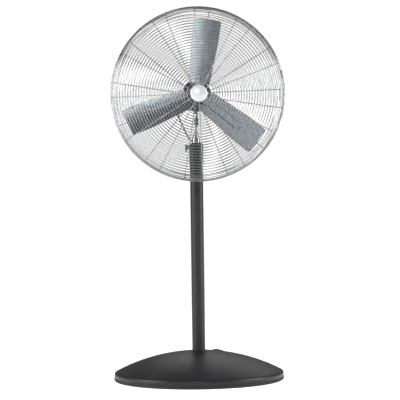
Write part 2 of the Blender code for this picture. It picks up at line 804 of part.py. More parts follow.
def make_guard(name, front):
    """One half of the guard: radial ribs, a few of its rings, and its centre plate."""
    shape = guard_shape(front)
    turn = FRONT_RIB_TURN if front else REAR_RIB_TURN
    face = shape[0][1]
    low, high = face - PLATE_HALF, face + PLATE_HALF
    if front:
        profile = [(0, high), (FRONT_PLATE_RADIUS, high), (FRONT_PLATE_RADIUS, low), (0, low)]
    else:
        profile = ring_profile(PLATE_HOLE, PLATE_RADIUS, low, high)
    guard = baked(turned(name, "chrome", profile, axis="Y", steps=24, centre=(0, 0, FAN_HEIGHT)))
    if not front:
        guard = combine(guard, guard_holes(), "DIFFERENCE")
    pieces = []
    for i in range(RIB_COUNT):
        angle = turn + 360 * i / RIB_COUNT
        points = [around_fan(r, angle, y) for r, y in shape]
        points[-1] = around_fan(shape[-1][0], angle, shape[-1][1] + (-1 if front else 1) * 0.0005)
        rib = wire(f"rib_{i}", None, points, WIRE_RADIUS, collection=CUTTERS)
        pieces.append(baked(rib))
    rings = [shape[1], shape[2], shape[-1]]
    outward = -0.0009 if front else 0.0009
    for i, (radius, y) in enumerate(rings):
        last = (radius, y) == shape[-1]
        thickness = WIRE_RADIUS * (1.3 if last else 1.0)
        pieces.append(ring_wire(f"ring_{i}", radius + 0.0002, y if last else y + outward, thickness))
    # The exact solver leaves open slivers where this many thin wires cross.
    return combine(guard, pieces, "UNION", "MANIFOLD")


def make_guard_fittings():
    """The badge cap, the screws that hold the rear guard to the motor, and the clips that hold the halves."""
    turned(
        "centre_badge",
        "chrome",
        [
            (0, 0.0135),
            (0.016, 0.0125),
            (0.030, 0.0085),
            (0.0385, 0.0035),
            (0.0400, 0),
            (0, 0),
        ],
        steps=32,
        centre=(0, GUARD_FRONT - PLATE_HALF - GAP, FAN_HEIGHT),
    ).rotation_euler = (pi / 2, 0, 0)
    combine(bpy.data.objects["motor_front_bell"], guard_holes(), "DIFFERENCE")
    for i in range(3):
        head = around_fan(SCREW_CIRCLE, 67 + 120 * i, GUARD_BACK - PLATE_HALF - GAP)
        make_bolt(f"guard_screw_{i + 1}", head, (0, 1, 0), 0.0025, 0.009, 0.0055, 0.0035)
    for i in range(4):
        turn = 45 + 90 * i + 3.5
        clip = box(f"guard_clip_{i + 1}", "steel", (0.020, 0.024, 0.0022), (0, 0, 0), bevel=0.0006)
        out = GUARD_RADIUS + WIRE_RADIUS * 0.3 + 0.0011 + GAP + 0.0004
        place_at = around_fan(out, turn, GUARD_SEAM)
        clip.matrix_world = Matrix.Translation(place_at) @ Matrix.Rotation(radians(turn), 4, "Y")


# Rotor.


def make_rotor():
    start = BLADE_PLANE - 0.022
    end = MOTOR_BACK + BELL_DEPTH + 0.003
    rod(
        "motor_shaft", "steel", SHAFT_RADIUS, end - start, (0, (start + end) / 2, FAN_HEIGHT), axis="Y", sides=20
    )
    turned(
        "rotor_core",
        "iron",
        ring_profile(SHAFT_RADIUS + GAP, 0.0400, -0.050, 0.044),
        axis="Y",
        centre=(0, 0, FAN_HEIGHT),
    )
    turned(
        "blade_hub",
        "aluminium",
        [
            (HUB_RADIUS - 0.003, 0.016),
            (HUB_RADIUS, 0.012),
            (HUB_RADIUS, -0.010),
            (HUB_RADIUS - 0.006, -0.016),
            (SHAFT_RADIUS + GAP, -0.016),
            (SHAFT_RADIUS + GAP, 0.016),
        ],
        axis="Y",
        centre=(0, BLADE_PLANE, FAN_HEIGHT),
    )
    for i in range(BLADE_COUNT):
        make_blade(i)
        make_blade_arm(i)
    nut_bore = (SHAFT_RADIUS + GAP) / cos(pi / 6)
    nut = turned("hub_nut", "steel", ring_profile(nut_bore, 0.0140, -0.004, 0.004), axis="Y", steps=6)
    nut.location = (0, BLADE_PLANE - 0.016 - GAP - 0.004, FAN_HEIGHT)


def blade_point(radius, across, lift=0.0):
    """A point of a blade standing straight up: across runs clockwise, and the leading edge lies to the back."""
    share = (radius - BLADE_ROOT) / (BLADE_TIP - BLADE_ROOT)
    pitch = radians(BLADE_PITCH - 4 * share)
    width = BLADE_ROOT_CHORD + (BLADE_CHORD - BLADE_ROOT_CHORD) * min(share * 1.5, 1)
    camber = 0.010 * (1 - (2 * across / width) ** 2)
    x = across * cos(pitch) - (camber + lift) * sin(pitch) * 0.4
    y = across * sin(pitch) + camber + lift
    return Vector((x, BLADE_PLANE + y, FAN_HEIGHT + radius))


def make_blade(index):
    """A rolled sheet paddle, from a grid over its outline thickened with Solidify."""
    mesh = bmesh.new()
    rows = 8
    columns = 6
    grid = []
    for i in range(rows + 1):
        share = i / rows
        row = []
        for j in range(columns + 1):
            side = 2 * j / columns - 1
            width = BLADE_ROOT_CHORD + (BLADE_CHORD - BLADE_ROOT_CHORD) * min(share * 1.5, 1)
            across = side * width / 2
            corner = 0.014 if side > 0 else 0.011
            inset = max(abs(across) - (BLADE_CHORD / 2 - corner), 0)
            drop = corner - sqrt(max(corner**2 - inset**2, 0))
            radius = BLADE_ROOT + (BLADE_TIP + TIP_SLANT * side - drop * 0.9 - BLADE_ROOT) * share
            row.append(mesh.verts.new(blade_point(radius, across)))
        grid.append(row)
    for i in range(rows):
        for j in range(columns):
            mesh.faces.new((grid[i][j], grid[i + 1][j], grid[i + 1][j + 1], grid[i][j + 1]))
    mesh.transform(Matrix.Translation((0, 0, -FAN_HEIGHT)))
    blade = from_bmesh(mesh, f"blade_{index + 1}", "aluminium")
    blade.location = (0, 0, FAN_HEIGHT)
    blade.rotation_euler = (0, radians(BLADE_TURN + 120 * index), 0)
    skin = blade.modifiers.new("sheet", "SOLIDIFY")
    skin.thickness = BLADE_THICKNESS
    skin.offset = 0
    baked(blade)


def make_blade_arm(index):
    """A flat arm from the hub that its blade is riveted to, behind the blade."""
    arm = box("arm", "aluminium", (0.040, 0.0030, 0.110), (0, 0, 0))
    tilt = Matrix.Rotation(radians(BLADE_PITCH - 2), 4, "Z")
    arm.matrix_world = (
        Matrix.Translation((0, BLADE_PLANE, FAN_HEIGHT))
        @ Matrix.Rotation(radians(BLADE_TURN + 120 * index), 4, "Y")
        @ Matrix.Translation((-0.004, 0.0135 + 0.0022, 0.080))
        @ tilt
    )
    arm = baked(arm)
    hub = bpy.data.objects["blade_hub"]
    combine(hub, [arm], "UNION")


# Cord.


def on_dome(radius, turn, lift):
    """A point lift above the dome's outer face, at a radius and a compass angle from +X."""
    slope = atan2(radius, sqrt(DOME_CURVE_RADIUS**2 - radius**2))
    out = Vector((cos(radians(turn)), sin(radians(turn)), 0))
    return out * (radius + lift * sin(slope)) + Vector((0, 0, dome_height(radius) + lift * cos(slope)))


def gland_frame():
    """Where the mains cord leaves the dome's back: +Z points out of the dome, low over its surface."""
    foot = on_dome(GLAND_RADIUS, GLAND_TURN, 0)
    ahead = on_dome(GLAND_RADIUS + 0.02, GLAND_TURN, 0) - foot
    normal = on_dome(GLAND_RADIUS, GLAND_TURN, 1) - foot
    along = ahead.normalized() * cos(radians(GLAND_RISE)) + normal.normalized() * sin(radians(GLAND_RISE))
    return Matrix.Translation(foot) @ along.to_track_quat("Z", "X").to_matrix().to_4x4()


def cord_route():
    """The free stretch: over the dome's back, off its rim, and along the floor to the coil."""
    lift = CORD_RADIUS + 0.0006
    floor = CORD_RADIUS + GAP
    frame = gland_frame()
    over = [(0.3940, 0.0531), (0.4045, 0.0480), (0.4143, 0.0405)]
    down = [(0.4236, 0.0296), (0.4330, 0.0186), (0.4466, 0.0081), (0.4636, floor + 0.0002)]
    turn = radians(RIM_TURN)
    stops = [
        frame @ Vector((0, 0, GLAND_LENGTH + GAP)),
        frame @ Vector((0, 0, GLAND_LENGTH + 0.010)),
        on_dome(0.232, 54.0, lift + 0.0005),
        on_dome(0.262, 47.5, lift + 0.0005),
        on_dome(0.300, 40.5, lift + 0.0005),
        on_dome(0.340, 35.5, lift + 0.0005),
        on_dome(0.372, 33.5, lift + 0.0005),
        *[Vector((r * cos(turn), r * sin(turn), z)) for r, z in (*over, *down)],
        Vector((0.4080, 0.2860, floor)),
        Vector((0.4000, 0.3170, floor)),
        Vector((0.3780, 0.3360, floor)),
        Vector((0.3300, 0.3640, floor)),
        Vector((0.2700, 0.3960, floor)),
        Vector((0.2000, 0.4240, floor)),
        Vector((0.1350, 0.4350, floor)),
        Vector((COIL_CENTRE[0] + 0.040, COIL_CENTRE[1] - COIL_OUTER + 0.0020, floor)),
    ]
    return smooth_route(stops, 60)


def make_cord():
    """Mains cord: gland on the dome's back, a free stretch over the dome and the floor, a tied coil, and a plug."""
    gland = turned(
        "cord_gland",
        "plastic",
        [
            (CORD_RADIUS + 0.0015, GLAND_LENGTH),
            (0.0064, 0.010),
            (0.0072, 0.002),
            (0.0072, -0.020),
            (CORD_RADIUS + GAP, -0.020),
            (CORD_RADIUS + GAP, GLAND_LENGTH),
        ],
        steps=16,
    )
    gland.matrix_world = gland_frame()
    hole = rod("gland_hole", None, 0.0078, 0.05, (0, 0, 0), sides=16)
    hole.matrix_world = gland_frame()
    combine(bpy.data.objects["base_dome"], [cutter(hole)], "DIFFERENCE")
    wire("mains_cord", "rubber", cord_route(), CORD_RADIUS, resolution=2)
    x, y = COIL_CENTRE
    coil = turned("cord_coil", "rubber", ring_profile(COIL_INNER, COIL_OUTER, 0, COIL_HEIGHT), steps=32)
    coil.location = (x, y, 0)
    make_tie()
    make_plug()


def make_tie():
    """A hook-and-loop band over the coil's right side, with its open end on the floor."""
    x, y = COIL_CENTRE
    low = COIL_INNER - 0.0014  # the ring curves in behind the band's flat inner side
    high = COIL_OUTER + 0.0006
    middle = x + (low + high) / 2
    top = COIL_HEIGHT + 0.0004
    band = baked(box("cord_tie", "plastic", (high - low + TIE_WALL * 2, 0.014, top + TIE_WALL), (middle, y, 0)))
    band.location.z = (top + TIE_WALL) / 2
    inside = box("coil_space", None, (high - low, 0.05, 2 * top), (middle, y, 0))
    combine(band, [cutter(inside)], "DIFFERENCE")


def make_plug():
    """A moulded plug with two flat blades and an earth pin, flat on the floor beside the coil."""
    x, y = PLUG_AT
    turn = Matrix.Translation((x, y, 0.0125)) @ Matrix.Rotation(radians(PLUG_TURN), 4, "Z")
    body = box("mains_plug", "rubber", (0.034, 0.026, 0.0245), (0, 0, 0), bevel=0.005)
    body = baked(body)
    neck = rod("neck", None, 0.0065, 0.020, (-0.024, 0, 0), axis="X", sides=12)
    body = combine(body, [neck], "UNION")
    body.matrix_world = turn
    for name, across, up in (("plug_blade_1", 0.0064, 0.003), ("plug_blade_2", -0.0064, 0.003)):
        blade = box(name, "brass", (0.018, 0.0016, 0.0063), (0, 0, 0))
        blade.matrix_world = turn @ Matrix.Translation((0.017 + GAP + 0.009, across, up))
    pin = rod("plug_earth_pin", "brass", 0.0024, 0.021, (0, 0, 0), axis="X", sides=12)
    pin.matrix_world = turn @ Matrix.Translation((0.017 + GAP + 0.0105, 0, -0.0065))


def main():
    clear_scene()
    make_materials()
    make_base()
    make_pole_fittings()
    make_mast()
    make_bracket()
    make_motor()
    make_lead()
    make_guard("rear_guard", False)
    make_guard("front_guard", True)
    make_guard_fittings()
    make_rotor()
    make_cord()


main()
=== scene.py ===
"""Industrial pedestal fan: fine meshes, finishes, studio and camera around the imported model.

Metres, +Z up. The fan blows towards -Y and stands on the Z axis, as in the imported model.
"""

import json
import logging
from collections.abc import Sequence
from dataclasses import dataclass, field
from enum import Enum
from math import acos, atan2, ceil, cos, pi, radians, sin, sqrt, tau

import bpy
from mathutils import Matrix, Vector


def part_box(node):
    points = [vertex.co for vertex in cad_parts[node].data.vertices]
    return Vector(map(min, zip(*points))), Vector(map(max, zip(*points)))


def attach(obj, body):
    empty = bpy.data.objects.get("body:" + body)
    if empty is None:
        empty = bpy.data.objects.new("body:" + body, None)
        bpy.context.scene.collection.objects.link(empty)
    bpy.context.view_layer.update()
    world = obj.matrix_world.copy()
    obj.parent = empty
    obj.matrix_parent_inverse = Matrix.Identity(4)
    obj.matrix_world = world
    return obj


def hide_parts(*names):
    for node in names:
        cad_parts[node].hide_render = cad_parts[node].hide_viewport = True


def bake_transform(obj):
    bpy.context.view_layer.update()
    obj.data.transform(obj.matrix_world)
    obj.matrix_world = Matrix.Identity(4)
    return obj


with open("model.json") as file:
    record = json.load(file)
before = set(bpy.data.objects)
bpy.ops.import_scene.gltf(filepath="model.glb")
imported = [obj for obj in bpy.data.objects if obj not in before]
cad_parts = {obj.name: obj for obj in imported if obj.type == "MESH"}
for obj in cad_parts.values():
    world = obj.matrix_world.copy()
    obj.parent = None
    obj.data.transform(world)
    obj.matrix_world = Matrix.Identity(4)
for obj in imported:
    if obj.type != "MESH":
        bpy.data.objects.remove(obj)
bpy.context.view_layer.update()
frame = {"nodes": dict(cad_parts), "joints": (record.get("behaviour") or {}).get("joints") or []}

log = logging.getLogger("pedestal_fan")

Point2 = tuple[float, float]
Point3 = tuple[float, float, float]
Colour = Point3

GAP = 0.0003  # between pieces that touch
ON_AXIS = 1e-7  # a turned profile's point nearer than this is on its axis
CORD_STEP = 0.004  # between the points of a cord's path
WIRE_END_REACH = 0.35  # how far a wire's rounded end stands out, in radii
WIRE_END_WIDTH = 0.7  # how wide that end is, in radii

FACING_RIGHT = Matrix(((0, 0, 1, 0), (1, 0, 0, 0), (0, 1, 0, 0), (0, 0, 0, 1)))  # X to +Y, Y up, Z to +X
UPRIGHT = Matrix(((1, 0, 0, 0), (0, 0, -1, 0), (0, 1, 0, 0), (0, 0, 0, 1)))  # X stays, Y up, Z to the front


class Body(str, Enum):
    """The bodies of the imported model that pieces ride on."""

    BASE = "base"
    CLAMP = "clamp"
    MAST = "mast"
    HEAD = "head"
    ROTOR = "rotor"
    SWITCH = "speed_switch"


class Axis(Enum):
    """Where a turned profile's height points."""

    UP = "up"
    FRONT = "front"
    BACK = "back"
    LEFT = "left"
    RIGHT = "right"

    def matrix(self) -> Matrix:
        """The rotation that takes +Z to this direction.

        Returns:
            A 4x4 rotation.
        """
        towards = {
            Axis.UP: (0, 0, 1),
            Axis.FRONT: (0, -1, 0),
            Axis.BACK: (0, 1, 0),
            Axis.LEFT: (-1, 0, 0),
            Axis.RIGHT: (1, 0, 0),
        }[self]
        return Vector(towards).to_track_quat("Z", "Y").to_matrix().to_4x4()


def joint_point(name: str) -> Vector:
    """The point on a joint's axis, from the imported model."""
    return Vector(next(j["pos_m"] for j in frame["joints"] if j["name"] == name))


FAN_HEIGHT = joint_point("rotor_spin").z
PIVOT = joint_point("head_tilt")


def around_fan(radius: float, turn: float, y: float) -> Vector:
    """A point by its radius and clockwise angle in degrees from the top, seen from the front."""
    return Vector((radius * sin(radians(turn)), y, FAN_HEIGHT + radius * cos(radians(turn))))


# Shader graphs.


class Value:
    """A shader number that takes part in Python arithmetic by adding Math nodes."""

    def __init__(self, graph: "Graph", socket: bpy.types.NodeSocket) -> None:
        """Wraps a node's output socket."""
        self.graph = graph
        self.socket = socket

    def _with(self, operation: str, first: object, second: object) -> "Value":
        """Adds one Math node for an operator."""
        return self.graph.value("ShaderNodeMath", {"operation": operation}, {0: first, 1: second})

    def __add__(self, other: object) -> "Value":
        """Sum."""
        return self._with("ADD", self, other)

    __radd__ = __add__

    def __sub__(self, other: object) -> "Value":
        """Difference."""
        return self._with("SUBTRACT", self, other)

    def __rsub__(self, other: object) -> "Value":
        """Difference, with this value taken away."""
        return self._with("SUBTRACT", other, self)

    def __mul__(self, other: object) -> "Value":
        """Product."""
        return self._with("MULTIPLY", self, other)

    __rmul__ = __mul__


@dataclass
class Graph:
    """A material's nodes, with its Principled shader."""

    name: str
    material: bpy.types.Material = field(init=False)

    def __post_init__(self) -> None:
        """Makes the empty material."""
        self.material = bpy.data.materials.new(self.name)
        self.material.use_nodes = True

    @property
    def shader(self) -> bpy.types.Node:
        """The material's Principled shader."""
        return self.material.node_tree.nodes["Principled BSDF"]

    def node(self, kind: str, settings: dict | None = None, inputs: dict | None = None) -> bpy.types.Node:
        """Adds any node.

        Args:
            kind: the node's type name.
            settings: its properties, set first.
            inputs: values or links for its sockets, by name or number.

        Returns:
            The node.
        """
        made = self.material.node_tree.nodes.new(kind)
        for key, setting in (settings or {}).items():
            setattr(made, key, setting)
        for key, given in (inputs or {}).items():
            self.feed(made.inputs[key], given)
        return made

    def feed(self, socket: bpy.types.NodeSocket, given: object) -> None:
        """Links or sets one input socket.

        Args:
            socket: the socket to feed.
            given: a value, a socket to link from, or a number or colour.
        """
        if isinstance(given, Value):
            given = given.socket
        if isinstance(given, bpy.types.NodeSocket):
            self.material.node_tree.links.new(given, socket)
        elif socket.type == "RGBA" and len(given) == 3:
            socket.default_value = (*given, 1)
        else:
            socket.default_value = given

    def value(self, kind: str, settings: dict | None = None, inputs: dict | None = None) -> Value:
        """Adds a node and wraps its first output."""
        return Value(self, self.node(kind, settings, inputs).outputs[0])

    def place(self) -> bpy.types.NodeSocket:
        """Object coordinates, in metres."""
        return self.node("ShaderNodeTexCoord").outputs["Object"]

    def stretched(self, scale: Sequence[float]) -> bpy.types.NodeSocket:
        """Object coordinates multiplied axis by axis, for streaks and brushing."""
        return self.node("ShaderNodeMapping", None, {"Vector": self.place(), "Scale": scale}).outputs[0]

    def noise(self, scale: float, detail: float = 3, vector: bpy.types.NodeSocket | None = None) -> Value:
        """Fractal noise from 0 to 1."""
        inputs = {"Vector": vector or self.place(), "Scale": scale, "Detail": detail, "Roughness": 0.55}
        return self.value("ShaderNodeTexNoise", None, inputs)

    def spread(self, value: Value, low: float, high: float) -> Value:
        """A value's middle range stretched to run from 0 to 1."""
        inputs = {"Value": value, "From Min": low, "From Max": high}
        return self.value("ShaderNodeMapRange", {"interpolation_type": "SMOOTHSTEP"}, inputs)

    def blend(self, share: object, first: object, second: object) -> bpy.types.NodeSocket:
        """Colour between first and second.

        Args:
            share: 0 for the first colour, 1 for the second.
            first: a colour or its socket.
            second: a colour or its socket.

        Returns:
            The mixed colour's socket.
        """
        mix = self.node("ShaderNodeMix", {"data_type": "RGBA"}, {"Factor": share})
        self.feed(mix.inputs["A"] if mix.inputs["A"].type == "RGBA" else mix.inputs[6], first)
        self.feed(mix.inputs["B"] if mix.inputs["B"].type == "RGBA" else mix.inputs[7], second)
        return mix.outputs[2]

    def bump(self, height: Value, distance: float, strength: float = 1) -> None:
        """Feeds the shader's normal from a height in units of distance."""
        made = self.node("ShaderNodeBump", None, {"Height": height, "Distance": distance, "Strength": strength})
        self.feed(self.shader.inputs["Normal"], made.outputs[0])

    def set(self, **sockets: object) -> None:
        """Sets or links shader sockets, named with underscores for spaces."""
        for key, given in sockets.items():
            self.feed(self.shader.inputs[key.replace("_", " ")], given)


@dataclass(frozen=True)
class PowderCoat:
    """Satin powder coat with a fine orange-peel skin and a little dust."""

    colour: Colour
    dust: Colour
    roughness: float
    peel: float = 0.00006

    def material(self, name: str) -> bpy.types.Material:
        """Makes the material.

        Args:
            name: the material's name.

        Returns:
            The material.
        """
        graph = Graph(name)
        patches = graph.spread(graph.noise(6, 4), 0.42, 0.72)
        specks = graph.spread(graph.noise(900, 2), 0.60, 0.72)
        colour = graph.blend(patches * 0.35, self.colour, self.dust)
        graph.set(
            Base_Color=graph.blend(specks * 0.25, colour, self.dust),
            Roughness=self.roughness + patches * 0.06 + graph.noise(240, 2) * 0.05,
            Specular_IOR_Level=0.36,
        )
        graph.bump(graph.noise(620, 2) + graph.noise(170, 2) * 0.6, self.peel)
        return graph.material


@dataclass(frozen=True)
class Plated:
    """Bright plating: mirror-like, with faint drawing lines and a haze that dulls it in places."""

    colour: Colour
    roughness: float
    haze: float
    draw: tuple[float, float, float] = (60.0, 60.0, 60.0)
    metallic: float = 1.0

    def material(self, name: str) -> bpy.types.Material:
        """Makes the material.

        Args:
            name: the material's name.

        Returns:
            The material.
        """
        graph = Graph(name)
        haze = graph.spread(graph.noise(9, 4), 0.40, 0.75)
        lines = graph.noise(14, 3, graph.stretched(self.draw))
        darker = tuple(0.78 * c for c in self.colour)
        graph.set(
            Base_Color=graph.blend(haze * 0.45, self.colour, darker),
            Roughness=self.roughness + haze * self.haze + lines * 0.05,
            Metallic=self.metallic,
        )
        graph.bump(lines, 0.00003)
        return graph.material


@dataclass(frozen=True)
class RolledSheet:
    """Dull rolled metal sheet: faint rolling lines, a cloudy oxide bloom and bright scuffs."""

    colour: Colour
    bloom: Colour
    roughness: float
    metallic: float = 1.0

    def material(self, name: str) -> bpy.types.Material:
        """Makes the material.

        Args:
            name: the material's name.

        Returns:
            The material.
        """
        graph = Graph(name)
        lines = graph.noise(8, 4, graph.stretched((220, 220, 5)))
        clouds = graph.spread(graph.noise(26, 5), 0.36, 0.68)
        flecks = graph.value("ShaderNodeTexVoronoi", None, {"Vector": graph.place(), "Scale": 160})
        colour = graph.blend(clouds * 0.5, self.colour, self.bloom)
        graph.set(
            Base_Color=graph.blend(lines * 0.22, colour, tuple(0.72 * c for c in self.colour)),
            Roughness=self.roughness + clouds * 0.08 + lines * 0.06 - flecks * 0.04,
            Metallic=self.metallic,
        )
        graph.bump(lines + clouds * 0.4, 0.00008)
        return graph.material


@dataclass(frozen=True)
class Cast:
    """Rough cast metal with a grainy skin."""

    colour: Colour
    roughness: float
    metallic: float

    def material(self, name: str) -> bpy.types.Material:
        """Makes the material.

        Args:
            name: the material's name.

        Returns:
            The material.
        """
        graph = Graph(name)
        grain = graph.noise(420, 4)
        blotch = graph.spread(graph.noise(30, 4), 0.4, 0.7)
        graph.set(
            Base_Color=graph.blend(blotch * 0.6, self.colour, tuple(0.55 * c for c in self.colour)),
            Roughness=self.roughness + grain * 0.12,
            Metallic=self.metallic,
        )
        graph.bump(grain, 0.0003)
        return graph.material


@dataclass(frozen=True)
class Moulded:
    """Moulded plastic or rubber: fine spark-eroded grain and greyer rubbed patches."""

    colour: Colour
    rubbed: Colour
    roughness: float
    grain: float = 900

    def material(self, name: str) -> bpy.types.Material:
        """Makes the material.

        Args:
            name: the material's name.

        Returns:
            The material.
        """
        graph = Graph(name)
        skin = graph.noise(self.grain, 2)
        rub = graph.spread(graph.noise(22, 4), 0.45, 0.75)
        graph.set(
            Base_Color=graph.blend(rub * 0.5, self.colour, self.rubbed),
            Roughness=self.roughness + rub * 0.08 + skin * 0.06,
            Specular_IOR_Level=0.45,
        )
        graph.bump(skin, 0.00005)
        return graph.material


@dataclass(frozen=True)
class Winding:
    """Lacquered copper wire laid round the stator."""

    colour: Colour

    def material(self, name: str) -> bpy.types.Material:
        """Makes the material.

        Args:
            name: the material's name.

        Returns:
            The material.
        """
        graph = Graph(name)
        settings = {"wave_type": "RINGS", "rings_direction": "Y"}
        turns = graph.value(
            "ShaderNodeTexWave", settings, {"Vector": graph.place(), "Scale": 180, "Distortion": 1.2}
        )
        graph.set(
            Base_Color=graph.blend(turns, tuple(0.45 * c for c in self.colour), self.colour),
            Roughness=0.30 + turns * 0.12,
            Metallic=1.0,
        )
        graph.bump(turns, 0.0003)
        return graph.material


class Finish(Enum):
    """Every finish on the fan."""

    DOME_COAT = PowderCoat((0.015, 0.015, 0.017), (0.045, 0.045, 0.050), 0.38)
    POLE_COAT = PowderCoat((0.015, 0.015, 0.016), (0.036, 0.036, 0.038), 0.44)
    MOTOR_ENAMEL = PowderCoat((0.105, 0.115, 0.118), (0.16, 0.17, 0.17), 0.38, 0.00004)
    MAST_CHROME = Plated((0.62, 0.62, 0.63), 0.10, 0.06, (400.0, 400.0, 6.0))
    WIRE_CHROME = Plated((0.33, 0.335, 0.34), 0.20, 0.08)
    # The chrome badge is drawn near-white and mostly non-metallic: its whiteness is a painted reflection of the
    # front light, not the plating's colour.
    BADGE_PAINTED_GLARE = Plated((0.98, 0.985, 0.99), 0.28, 0.04, metallic=0.18)
    BLADE_SHEET = RolledSheet((0.245, 0.275, 0.295), (0.315, 0.35, 0.37), 0.34, 0.78)
    ZINC = Plated((0.60, 0.60, 0.58), 0.26, 0.10)
    BRIGHT_STEEL = Plated((0.58, 0.58, 0.59), 0.22, 0.08, (8.0, 400.0, 8.0))
    IRON = Cast((0.14, 0.14, 0.145), 0.62, 0.5)
    COPPER = Winding((0.72, 0.34, 0.16))
    RUBBER = Moulded((0.018, 0.018, 0.018), (0.055, 0.055, 0.055), 0.62)
    CORD_JACKET = Moulded((0.014, 0.014, 0.015), (0.035, 0.035, 0.037), 0.42, 300)
    PLASTIC = Moulded((0.020, 0.020, 0.021), (0.050, 0.050, 0.052), 0.46)
    BRASS = Plated((0.74, 0.56, 0.28), 0.24, 0.08)
    CAN = RolledSheet((0.62, 0.63, 0.64), (0.70, 0.70, 0.71), 0.30)

    def material(self) -> bpy.types.Material:
        """This finish's material, made on first use."""
        name = self.name.lower()
        return bpy.data.materials.get(name) or self.value.material(name)


# Mesh making.


def fillet(corners: Sequence[tuple[float, float, float]], closed: bool = False, steps: int = 4) -> list[Point2]:
    """Rounds the corners of an outline.

    Args:
        corners: (x, y, rounding radius) for each corner.
        closed: whether the last corner joins the first.
        steps: how many segments each rounding has.

    Returns:
        The outline's points.
    """
    points: list[Point2] = []
    count = len(corners)
    for i, (x, y, radius) in enumerate(corners):
        if radius <= 0 or (not closed and i in (0, count - 1)):
            points.append((x, y))
            continue
        here = Vector((x, y))
        before = Vector(corners[i - 1][:2]) - here
        after = Vector(corners[(i + 1) % count][:2]) - here
        half = acos(max(-1, min(1, before.normalized().dot(after.normalized())))) / 2
        if half > pi / 2 - 0.01:
            points.append((x, y))
            continue
        reach = min(radius / sin(half) * cos(half), 0.49 * before.length, 0.49 * after.length)
        start = here + before.normalized() * reach
        end = here + after.normalized() * reach
        for k in range(steps + 1):
            t = k / steps
            bend = start * (1 - t) ** 2 + here * (2 * t * (1 - t)) + end * t**2
            points.append((bend.x, bend.y))
    return points


def circle(radius: float, steps: int, x: float = 0, y: float = 0) -> list[Point2]:
    """The points of a circle, about (x, y)."""
    return [(x + radius * cos(tau * i / steps), y + radius * sin(tau * i / steps)) for i in range(steps)]


def smooth_line(stops: Sequence[Sequence[float]], per_span: int = 24) -> list[Vector]:
    """A Catmull-Rom line through the stops, with per_span points a span.

    Args:
        stops: the points that the line goes through.
        per_span: points between two stops.

    Returns:
        The line's points.
    """
    ends = [Vector(p) for p in stops]
    ends = [2 * ends[0] - ends[1], *ends, 2 * ends[-1] - ends[-2]]
    fine: list[Vector] = []
    for a, b, c, d in zip(ends, ends[1:], ends[2:], ends[3:]):
        for i in range(per_span):
            t = i / per_span
            square, cube = 2 * a - 5 * b + 4 * c - d, 3 * b - a - 3 * c + d
            fine.append(0.5 * (2 * b + (c - a) * t + square * t * t + cube * t**3))
    fine.append(ends[-2])
    return fine


def evenly(line: Sequence[Vector], step: float) -> list[Vector]:
    """The same line with its points about step apart.

    Args:
        line: the line's points.
        step: the distance between points.

    Returns:
        The new points.
    """
    lengths = [0.0]
    for a, b in zip(line, line[1:]):
        lengths.append(lengths[-1] + (b - a).length)
    count = max(2, ceil(lengths[-1] / step) + 1)
    even: list[Vector] = []
    at = 0
    for i in range(count):
        goal = lengths[-1] * i / (count - 1)
        while at < len(lengths) - 2 and lengths[at + 1] < goal:
            at += 1
        share = (goal - lengths[at]) / max(lengths[at + 1] - lengths[at], 1e-9)
        even.append(line[at].lerp(line[at + 1], min(share, 1)))
    return even


def line_length(line: Sequence[Vector]) -> float:
    """The length of a line of points."""
    return sum((b - a).length for a, b in zip(line, line[1:]))


